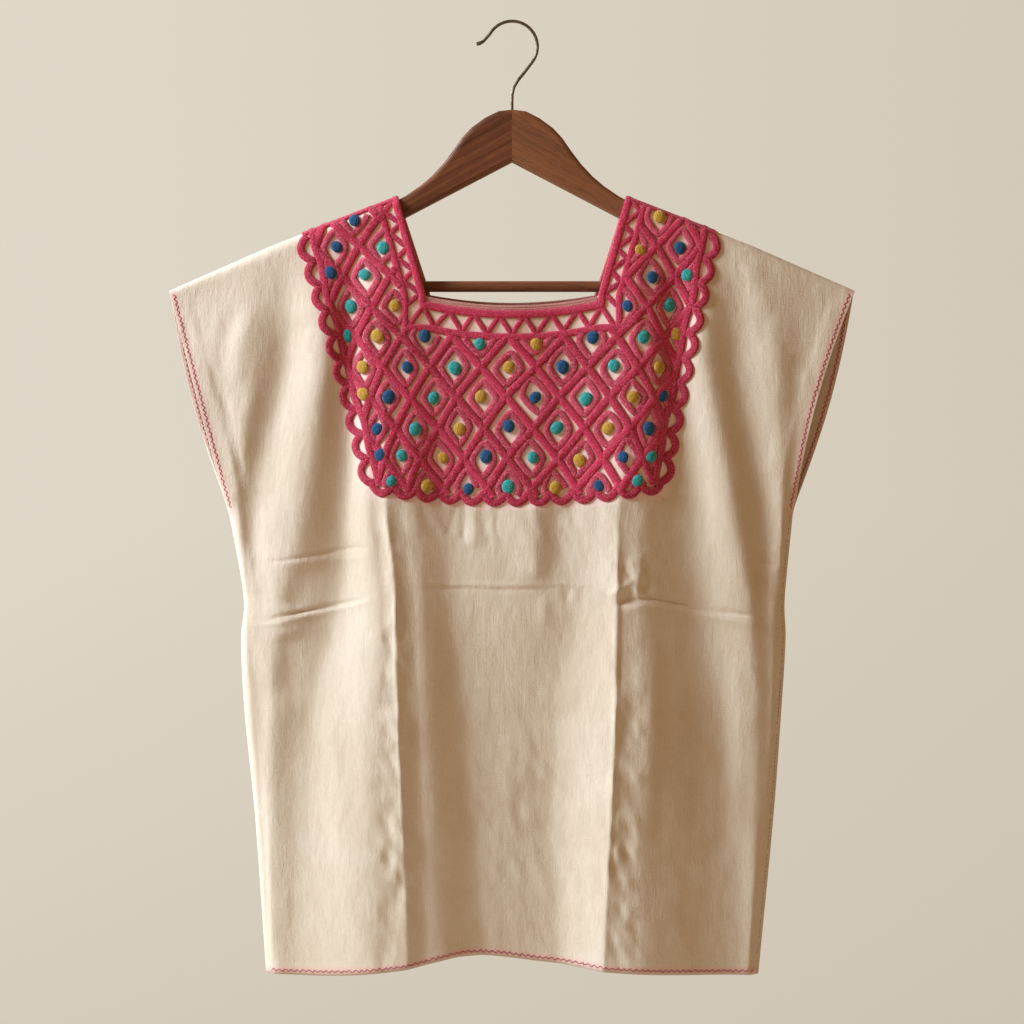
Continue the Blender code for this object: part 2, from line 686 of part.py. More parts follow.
def make_yoke(name, design, material, panel_mesh):
    """The embroidery: a bed that follows the panel's own facets, with ribs and dots raised on it."""
    places, faces, outer, normals, rows = panel_mesh
    scallops = design.scallops()
    shoulder = sorted((p.x, p.y) for p in places if abs(p.y - shoulder_z(p.x)) < 0.01)
    right = [p for p in shoulder if SHOULDER[0][0] + NEAR < p[0] < scallops[-1][0] - NEAR]
    left = [p for p in shoulder if scallops[0][0] + NEAR < p[0] < -SHOULDER[0][0] - NEAR]
    border = design.neck + right + scallops[::-1] + left
    under = []
    for face in faces:
        middle = sum((places[i] for i in face), Vector((0, 0))) / 3
        if inside(middle, border):
            under.append(face)
    used = sorted({i for f in under for i in f})
    index = {i: n for n, i in enumerate(used)}
    bed = [outer[i] + normals[i] * SEAM_GAP for i in used]
    bed_faces = [tuple(index[i] for i in f) for f in under]

    loops, heights = [border], [EDGE_RISE]
    pits = [(c, inset(c, RIB_SLOPE), True) for c in design.cells()]
    pits += [(c, inset(c, BAND_SLOPE), False) for c in design.band_cells()]
    for top, floor, dotted in pits:
        loops += [top, floor]
        heights += [RIB_RISE, 0]
        rings = dot(floor) if dotted else None
        if rings:
            loops += rings
            heights += [0, DOT_RISE]
    rows = [row for row in rows if all(inside(spot, border) for spot in row[1:-1])]
    lines = [border + border[:1]] + [top + top[:1] for top, _, _ in pits] + rows
    spots = [(places[i].x, places[i].y) for i in used]
    loose = [p for p in spots if clear_of(p, lines, NEAR) and not any(inside(p, top) for top, _, _ in pits)]
    source_height = [h for loop, h in zip(loops, heights) for _ in loop]
    source_height += [RIB_RISE] * (sum(len(row) for row in rows) + len(loose))
    spots, top_faces, sources = triangulate(loops, rows, loose)
    carrier = Carrier(places, under, outer, normals)
    raised = []
    for spot, source in zip(spots, sources):
        height = min((source_height[s] for s in source), default=RIB_RISE)
        raised.append(carrier.at(spot, SEAM_GAP + STITCH_BED + height))
    inner_at = {(round(places[i].x, 2), round(places[i].y, 2)): index[i] for i in used}
    rim = {}
    for a, b in boundary_edges(top_faces):
        for k in (a, b):
            rim[k] = inner_at[(round(spots[k].x, 2), round(spots[k].y, 2))]
    points, all_faces = wall(raised, bed, top_faces, bed_faces, rim)
    make_object(name, material, points, all_faces)


class Carrier:
    """Finds the place and normal of a panel's facet under a point of the front view."""

    def __init__(self, places, faces, outer, normals):
        self.outer, self.normals = outer, normals
        self.triangles = [(f, *[places[i] for i in f]) for f in faces]

    def at(self, spot, height):
        best, best_low = None, -1e9
        for face, a, b, c in self.triangles:
            whole = (b - a).cross(c - a)
            u = (b - spot).cross(c - spot) / whole
            v = (c - spot).cross(a - spot) / whole
            low = min(u, v, 1 - u - v)
            if low > best_low:
                best, best_low = (face, u, v), low
            if low > -1e-6:
                break
        face, u, v = best
        shares = (u, v, 1 - u - v)
        place = sum((self.outer[i] * s for i, s in zip(face, shares)), Vector((0, 0, 0)))
        normal = sum((self.normals[i] * s for i, s in zip(face, shares)), Vector((0, 0, 0)))
        return place + normal.normalized() * height


def make_cutter(name, radius, start, end, sides=20):
    """A round cutter between two points."""
    start, end = Vector(start), Vector(end)
    obj = make_rod(name, None, radius, start, end, sides)
    obj.hide_render = True
    obj.display_type = "WIRE"
    return obj


def make_rod(name, material, radius, start, end, sides=20):
    start, end = Vector(start), Vector(end)
    mesh = bpy.data.meshes.new(name)
    body = bmesh.new()
    bmesh.ops.create_cone(body, cap_ends=True, segments=sides, radius1=radius * MM,
                          radius2=radius * MM, depth=(end - start).length * MM)
    body.to_mesh(mesh)
    body.free()
    mesh.shade_smooth()
    mesh.set_sharp_from_angle(angle=math.radians(40))
    if material:
        mesh.materials.append(material)
    obj = bpy.data.objects.new(name, mesh)
    obj.location = (start + end) / 2 * MM
    obj.rotation_euler = (end - start).to_track_quat("Z", "Y").to_euler()
    bpy.context.collection.objects.link(obj)
    return obj


def cut(obj, cutter):
    modifier = obj.modifiers.new(cutter.name, "BOOLEAN")
    modifier.operation = "DIFFERENCE"
    modifier.solver = "EXACT"
    modifier.object = cutter


def make_hanger_arms(material):
    """Both wooden arms as one bell-shaped board with rounded edges."""
    right = ARM_TOP + ARM_END
    left = [(-x, z) for x, z in right[:0:-1]]
    outline = right + [(0, ARM_NOTCH_Z)] + left
    body = bmesh.new()
    ring = [body.verts.new((x * MM, -ARM_THICK / 2 * MM, z * MM)) for x, z in outline]
    face = body.faces.new(ring)
    moved = bmesh.ops.extrude_face_region(body, geom=[face])["geom"]
    verts = [v for v in moved if isinstance(v, bmesh.types.BMVert)]
    bmesh.ops.translate(body, verts=verts, vec=(0, ARM_THICK * MM, 0))
    bmesh.ops.recalc_face_normals(body, faces=body.faces)
    mesh = bpy.data.meshes.new("hanger_arms")
    body.to_mesh(mesh)
    body.free()
    mesh.shade_smooth()
    mesh.set_sharp_from_angle(angle=math.radians(50))
    mesh.materials.append(material)
    arms = bpy.data.objects.new("hanger_arms", mesh)
    bpy.context.collection.objects.link(arms)
    bevel = arms.modifiers.new("rounded edges", "BEVEL")
    bevel.width = ARM_ROUND * MM
    bevel.segments = 3
    bevel.angle_limit = math.radians(60)
    socket = (SOCKET_HALF, 0, BAR_Z)
    cut(arms, make_cutter("bar_socket", BAR_RADIUS + FIT_GAP, (-socket[0], 0, BAR_Z), socket))
    hole_end = (0, 0, ARM_TOP[0][1] - HOOK_HOLE_DEPTH)
    cut(arms, make_cutter("hook_hole", WIRE_RADIUS + FIT_GAP, hole_end, (0, 0, ARM_TOP[0][1] + 5), 12))


def make_hook(material):
    """The bent wire: a turned-out tip, the bend, and a shank let into the arms."""
    curve = bpy.data.curves.new("hanger_hook", "CURVE")
    curve.dimensions = "3D"
    curve.bevel_depth = WIRE_RADIUS * MM
    curve.bevel_resolution = 3
    curve.use_fill_caps = True
    centre_z = WIRE_RADIUS - HOOK_RADIUS
    path = list(HOOK_TIP)
    first, last = HOOK_ARC
    steps = 22
    for k in range(steps + 1):
        turn = math.radians(first + (last - first) * k / steps)
        path.append((HOOK_RADIUS * math.cos(turn), centre_z + HOOK_RADIUS * math.sin(turn)))
    path += HOOK_SHANK
    spline = curve.splines.new("POLY")
    spline.points.add(len(path) - 1)
    for point, (x, z) in zip(spline.points, path):
        point.co = (x * MM, 0, z * MM, 1)
    spline.points[0].radius = 1.15
    spline.points[1].radius = 1.25
    curve.materials.append(material)
    hook = bpy.data.objects.new("hanger_hook", curve)
    bpy.context.collection.objects.link(hook)


def main():
    clear_scene()
    cotton = make_material("natural cotton", (0.80, 0.70, 0.56), 0.9)
    thread = make_material("rose thread", (0.62, 0.07, 0.16), 0.75)
    wood = make_material("stained wood", (0.20, 0.085, 0.04), 0.42)
    steel = make_material("brushed steel", (0.42, 0.38, 0.33), 0.35, 1.0)
    for face, folds, neck, sizes in (
        ("front", FRONT_FOLDS, NECK_FRONT, FRONT_YOKE),
        ("back", BACK_FOLDS, NECK_BACK, BACK_YOKE),
    ):
        panel = Panel(face, folds, neck)
        design = YokeDesign(panel, sizes)
        panel_mesh = make_panel(face + "_panel", panel, design, cotton)
        make_yoke(face + "_yoke", design, thread, panel_mesh)
    make_hanger_arms(wood)
    make_rod("hanger_bar", wood, BAR_RADIUS, (-BAR_HALF, 0, BAR_Z), (BAR_HALF, 0, BAR_Z), 20)
    make_hook(steel)


main()
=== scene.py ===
# %% [markdown]
# # An embroidered cotton blouse on a wooden hanger
# The blouse is two panels of natural cotton, joined at the shoulders and sides, with a thick
# embroidered yoke round a square neck. It hangs by the hook of a flat wooden hanger. Here each
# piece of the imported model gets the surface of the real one: pressed and crumpled cloth, thread
# laid in cords, turned hems with zigzag stitching, varnished wood and dull wire.
# %% Frame and units
import math

import bpy
import numpy as np
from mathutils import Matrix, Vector


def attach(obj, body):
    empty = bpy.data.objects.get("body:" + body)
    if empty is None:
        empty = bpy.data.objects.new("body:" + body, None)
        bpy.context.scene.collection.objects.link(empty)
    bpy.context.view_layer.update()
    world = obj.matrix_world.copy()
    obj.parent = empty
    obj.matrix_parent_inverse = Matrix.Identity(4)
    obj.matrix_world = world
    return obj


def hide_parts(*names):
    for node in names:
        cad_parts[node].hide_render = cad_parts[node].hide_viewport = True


MM = 0.001
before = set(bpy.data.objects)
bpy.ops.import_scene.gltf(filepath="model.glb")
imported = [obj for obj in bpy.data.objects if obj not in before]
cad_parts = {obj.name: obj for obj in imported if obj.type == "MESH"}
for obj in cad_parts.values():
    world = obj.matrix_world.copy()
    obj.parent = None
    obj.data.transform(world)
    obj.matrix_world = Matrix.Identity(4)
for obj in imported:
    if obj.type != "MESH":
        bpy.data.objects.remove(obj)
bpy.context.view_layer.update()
print("nodes:", sorted(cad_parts))

# %% [markdown]
# ## The form of the panels
# Seen from the front, each place (x, z) of a panel lies at some depth before the middle plane.
# The depth is rounded off at the shoulders and side seams, and in between it follows folds, each
# a line down the cloth with its own x and depth at four levels. One function for that depth
# carries the cloth, the embroidery and the stitches, so all of them fit each other.
# %% Outline and fold tables, in millimetres
SHOULDER = [(100, -153.0), (211, -196.0), (301, -235.5)]     # x, z: neck, hanger end, cuff
SHOULDER_COS = 0.92
UNDERARM_Z = -430.0
HEM_LEVEL = -830.0
SIDE_SEAM = [           # z, left x, right x
    (-430, -249, 247),
    (-485, -238.5, 241.5),
    (-512, -235.5, 239.5),
    (-540, -238, 240.5),
    (-600, -235.5, 237),
    (-695, -226, 230),
    (-835, -216, 216.5),
]
NECK = {                # corners' distance from the middle, their z, and z of the lowest place
    "front": {"corner_x": 75, "corner_z": -241.5, "middle_z": -249.5},
    "back": {"corner_x": 72, "corner_z": -238.5, "middle_z": -245.0},
}
CUFF_BOW = {"front": (0.0, -7.0), "back": (7.0, 7.0)}     # left, right
HEM = {                 # x, z along the lower edge
    "front": [(-216, -833.5), (-163, -833.5), (-97, -827), (-38, -816.5), (28, -822.5),
              (82, -828.5), (150, -833), (216.5, -835)],
    "back": [(-216, -833.5), (-110, -828), (0, -823), (110, -828), (216.5, -835)],
}
FOLD_LEVELS = (-300, -430, -515, -600, -725, -835)
FOLDS = {               # x at each level, depth at each level, crease from 0 (round) to 1 (sharp)
    "front": [
        ((-228, -241, -233.5, -233.5, -221.5, -214.5), (13.5, 11.5, 11, 11, 11, 11), 0),
        ((-200, -231, -229, -230, -218, -212.5), (8.5, 10, 10.5, 11, 11, 11), 0),
        ((-165, -184, -200, -208, -211, -209.5), (18, 20, 17.5, 15, 13.5, 13), 0),
        ((-143, -149, -156, -178, -191, -199), (11, 11, 11.5, 12.8, 13.8, 14.2), 0),
        ((-124, -121, -113, -113, -117, -115), (16.5, 22, 27.5, 32.8, 35.7, 37), 0),
        ((-113, -109, -101, -98.5, -94, -90), (18, 25, 29.7, 34, 37, 38), 0.8),
        ((-96, -92, -84, -80, -74, -70), (17.0, 22.4, 25.8, 28.9, 30.8, 31.8), 0),
        ((-62, -57, -48, -40, -28, -20), (14, 15, 16.2, 15.4, 15.3, 16.2), 0),
        ((0, 16, -2, -6, -2, 2), (14, 18, 18, 15.2, 14.6, 15.2), 0),
        ((40, 44, 47, 32, 32, 36), (12.5, 16, 17, 14.2, 14.2, 15.5), 0),
        ((109, 93, 91.5, 90, 84, 79), (19, 26, 30, 35, 37, 38), 0.9),
        ((120, 107, 108, 110, 106, 101), (17.5, 24.3, 27.6, 32, 34.4, 36.4), 0.2),
        ((143, 156, 166, 178, 196, 200), (11, 11, 11, 11, 11.5, 12.5), 0),
        ((168, 192, 206, 212, 211.5, 207.5), (18, 20, 17, 14.8, 13.1, 13.2), 0),
        ((196, 221, 225, 227, 219, 211), (10, 10, 11, 11.5, 11, 11), 0),
        ((231, 236, 234, 233, 225, 213.5), (14.5, 12.5, 10.5, 9.5, 9.5, 10), 0),
        ((256, 243, 238, 235.5, 227, 215.5), (9.5, 10.5, 10.5, 10.5, 10.5, 10.8), 0),
    ],
    "back": [
        ((-205, -221, -224, -226, -218, -210), (11, 11, 11.5, 12, 12, 12), 0),
        ((-150, -152, -151, -150, -148, -146), (15, 20, 23, 26, 28, 30), 0),
        ((-96, -92, -90, -88, -86, -84), (12, 13, 13, 13, 13.5, 14), 0),
        ((-15, -12, -8, -4, -2, 0), (15, 22, 25.5, 29, 31, 33), 0.3),
        ((78, 76, 78, 80, 81, 82), (12, 13, 13, 13, 13.5, 14), 0),
        ((146, 150, 151, 152, 150, 148), (15, 20, 23, 26, 28, 30), 0),
        ((205, 219, 223, 227, 218, 210), (11, 11, 11.5, 12, 12, 12), 0),
    ],
}
CUFF_OPENING = 16.0
SEAM_ROUND = 13.0
EDGE_DEPTH = 11.0
NECK_DEPTH = 9.0
CREASE_PINCH = 1.4      # how steeply the cloth leaves a sharp fold
TIP_DEPTH = 5.0
FOLDS_START = (10, 95)
FACES = ("front", "back")
OUTWARD = {"front": -1, "back": 1}
print("levels:", FOLD_LEVELS, "front folds:", len(FOLDS["front"]), "back folds:", len(FOLDS["back"]))


# %% Smooth curves and soft noise
def ease(t):
    t = np.clip(t, 0, 1)
    return t * t * (3 - 2 * t)


def through(levels, values, at):
    """A smooth curve through the values at the levels."""
    levels, values = np.array(levels, float), np.array(values, float)
    if levels[0] > levels[-1]:
        levels, values = levels[::-1], values[::-1]
    at = np.clip(at, levels[0], levels[-1])
    i = np.clip(np.searchsorted(levels, at, side="right") - 1, 0, len(levels) - 2)
    places = np.arange(len(levels))
    low, high = np.maximum(places - 1, 0), np.minimum(places + 1, len(levels) - 1)
    slopes = (values[high] - values[low]) / (levels[high] - levels[low])
    span = levels[i + 1] - levels[i]
    t = (at - levels[i]) / span
    rise = values[i] + (values[i + 1] - values[i]) * ease(t)
    return rise + span * (slopes[i] * t * (1 - t) ** 2 - slopes[i + 1] * t * t * (1 - t))


def soft_noise(x, z, size, seed):
    """Smooth noise from -1 to 1. Size is one number, or (across, down), in millimetres."""
    across, down = size if isinstance(size, tuple) else (size, size)
    count = 512
    grid = np.random.default_rng(seed).uniform(-1, 1, (count, count))
    gx, gz = x / across + 100.3, z / down + 100.7
    ix, iz = np.floor(gx).astype(int), np.floor(gz).astype(int)
    tx, tz = ease(gx - ix), ease(gz - iz)
    corner = [[grid[(ix + i) % count, (iz + j) % count] for j in (0, 1)] for i in (0, 1)]
    left = corner[0][0] * (1 - tz) + corner[0][1] * tz
    right = corner[1][0] * (1 - tz) + corner[1][1] * tz
    return left * (1 - tx) + right * tx


# %% Depth of a panel
def shoulder_z(x):
    xs, zs = zip(*SHOULDER)
    return np.interp(np.abs(x), xs, zs)


def hem_z(face, x):
    """The z of the lower edge."""
    xs, zs = zip(*HEM[face])
    return through(xs, zs, x)


def cuff_share(z):
    """0 at the cuff's top, 1 at the underarm."""
    tip_z = SHOULDER[-1][1]
    return np.clip((z - tip_z) / (UNDERARM_Z - tip_z), 0, 1)


def edge_x(face, z, side):
    """The x of the cuff or side seam at this height. Side is 1 for the left, 2 for the right."""
    z = np.asarray(z, float)
    sign = -1 if side == 1 else 1
    seam = through([row[0] for row in SIDE_SEAM], [row[side] for row in SIDE_SEAM], z)
    t = cuff_share(z)
    tip, end = sign * SHOULDER[-1][0], SIDE_SEAM[0][side]
    cuff = tip + (end - tip) * t + sign * CUFF_BOW[face][side - 1] * np.sin(np.pi * t)
    return np.where(z < UNDERARM_Z, seam, cuff)


def fold_depth(face, x, z):
    left, right = edge_x(face, z, 1) - 1, edge_x(face, z, 2) + 1
    lines = [(left, EDGE_DEPTH, 0)]
    for places, depths, crease in FOLDS[face]:
        lines.append((through(FOLD_LEVELS, places, z), through(FOLD_LEVELS, depths, z), crease))
    lines.append((right, EDGE_DEPTH, 0))
    x = np.clip(x, left, right)
    depth = np.full_like(x, EDGE_DEPTH)
    for (x0, d0, crease0), (x1, d1, crease1) in zip(lines, lines[1:]):
        t = np.clip((x - x0) / np.maximum(x1 - x0, 0.001), 0, 1)
        bend = ease(t) + CREASE_PINCH * (crease0 * t * (1 - t) ** 2 - crease1 * t * t * (1 - t))
        depth = np.where((x >= x0) & (x <= x1), d0 + (d1 - d0) * bend, depth)
    return depth


def round_share(distance, width):
    return np.sqrt(np.clip(1 - (1 - np.clip(distance / width, 0, 1)) ** 2, 0, 1))


def main_depth(face, x, z):
    """Depth of the panel's outer face, without its small creases."""
    x, z = np.asarray(x, float), np.asarray(z, float)
    below = np.maximum((shoulder_z(x) - z) * SHOULDER_COS, 0)
    past_hanger = ease((np.abs(x) - SHOULDER[1][0] + 10) / 90)
    base = NECK_DEPTH + (TIP_DEPTH - NECK_DEPTH) * past_hanger
    start, full = FOLDS_START
    folded = base + (fold_depth(face, x, z) - base) * ease((below - start) / (full - start))
    nearest = np.minimum(x - edge_x(face, z, 1), edge_x(face, z, 2) - x)
    let_out = CUFF_OPENING * (1 - cuff_share(z) ** 3)
    nearest = np.maximum(nearest + let_out, 0)
    return folded * round_share(below, base) * round_share(nearest, SEAM_ROUND)


print("depth at the left crease:", round(float(main_depth("front", -98.0, -600.0)), 1), "mm")

# %% [markdown]
# ## Where the embroidery lies
# The stiff embroidery holds the cotton smooth under it, so its layout comes before the creases.
# Cells stand in rows across the yoke, closer together towards its sides, as the cloth turns away
# there. The field for them ends at the neck's band, at a cord inside the scallops and at the
# shoulder, and one function gives the room that a place has inside it.
# %% Layout of the yoke, in millimetres
YOKE = {                # half widths to the scallops' base at two heights, and the lattice's rows
    "front": {"top": (-200, 179, 173), "bottom": (-400, 124, 132), "low_z": -416, "low_rise": 11,
              "low_count": 13, "side_count": 10, "row_z": -303.7, "shift": -3.5, "seed": 7},
    "back": {"top": (-200, 173, 176), "bottom": (-400, 128, 128), "low_z": -348, "low_rise": 8,
             "low_count": 15, "side_count": 7, "row_z": -301.0, "shift": 2.0, "seed": 17},
}
ROW_HEIGHT = 26.5       # between rows of cells
COLUMN_SHARE = 0.157    # of the half width, from one column to the next at the middle
COLUMN_CLOSING = 0.0004  # how the columns close up towards the sides
CROSSING_SHIFT = 0.7    # spread of the crossings' random shifts
ROWS = range(-5, 7)
COLUMNS = range(-8, 9)
BORDER_INSET = 8.0      # the border cord's middle, inside the scallops' base
BAND = 21.0             # width of the zigzag band
EDGE_CORD = 3.4         # inset of the neck's edge cord
EDGE_DROP = 4.5         # how much lower it lies under the opening, where the ribbed binding is above it
LOWER_CORD = 18.6       # inset of the band's lower cord
BAND_DROP = 9.0         # how much lower that lies under the opening
ZIGZAG_NEAR = 4.6       # insets of the zigzag's corners
ZIGZAG_FAR = 16.6
STRAP_FAR = 16.4
ZIGZAG_COUNTS = (16, 9)  # straight cords under the opening, and up each strap
CORD_HALF = {"lattice": 3.9, "ring": 3.25, "scallop": 3.7, "edge": 3.6, "zigzag": 2.5, "lower": 3.3}
DOT_RADIUS = 5.7
DOT_ROOM = (6.3, 2.5)   # room that a dot moves to have, and the least it may have
DOT_WANDER = 13.0       # farthest that it may move for that
RING = {"half_width": 11.7, "half_height": 15.0, "margin": 0.8, "least_share": 0.3}
USUAL_COLUMNS = 46.0    # width of two columns where a ring has its full half width
SCALLOP = (-2.4, 8.6)   # the loops' start inside their base line, and their rise from there
SIDE_SAG = 2.0          # of the line of scallops down each side
SHADES = ("blue", "teal", "yellow")


def half_width(face, x, z):
    sizes = YOKE[face]
    (z0, left0, right0), (z1, left1, right1) = sizes["top"], sizes["bottom"]
    t = (np.asarray(z, float) - z0) / (z1 - z0)
    return np.where(np.asarray(x) < 0, left0 + (left1 - left0) * t, right0 + (right1 - right0) * t)


def low_z(face, x):
    half = half_width(face, 1, YOKE[face]["low_z"])
    return YOKE[face]["low_z"] + YOKE[face]["low_rise"] * (np.asarray(x, float) / half) ** 2


def neck_side(face, z):
    """Distance of the neck's edge from the middle, beside the opening."""
    corner, top = NECK[face], SHOULDER[0]
    t = np.clip((z - corner["corner_z"]) / (top[1] - corner["corner_z"]), 0, 1)
    return corner["corner_x"] + (top[0] - corner["corner_x"]) * t


def neck_sag(face, x):
    """How far the neck's lower edge lies from the height of its corners."""
    corner = NECK[face]
    return (corner["middle_z"] - corner["corner_z"]) * (1 - np.clip(x / corner["corner_x"], -1, 1) ** 2)


def neck_line_z(face, x):
    """The neck's lower edge."""
    return NECK[face]["corner_z"] + neck_sag(face, x)


def room(face, x, z):
    """Distance inside the lattice's field: below the band, inside the border, under the shoulder."""
    x, z = np.asarray(x, float), np.asarray(z, float)
    past_band = np.maximum(np.abs(x) - neck_side(face, z), neck_line_z(face, x) - BAND_DROP - z) - BAND + 2
    inside_border = (half_width(face, x, z) - BORDER_INSET - np.abs(x)) * 0.97
    above_low = z - low_z(face, x) + 1.5
    below_shoulder = (shoulder_z(x) - z) * SHOULDER_COS
    return np.minimum(np.minimum(past_band, inside_border), np.minimum(above_low, below_shoulder))


def lattice_place(face, column, row):
    z = YOKE[face]["row_z"] - (row - 1) * ROW_HEIGHT
    share = COLUMN_SHARE * column - COLUMN_CLOSING * column ** 3
    x = share * half_width(face, column, z) + YOKE[face]["shift"] * (1 - share * share)
    return float(x), float(z)


print("front field:", lattice_place("front", -7, 0), "to", lattice_place("front", 7, 0))


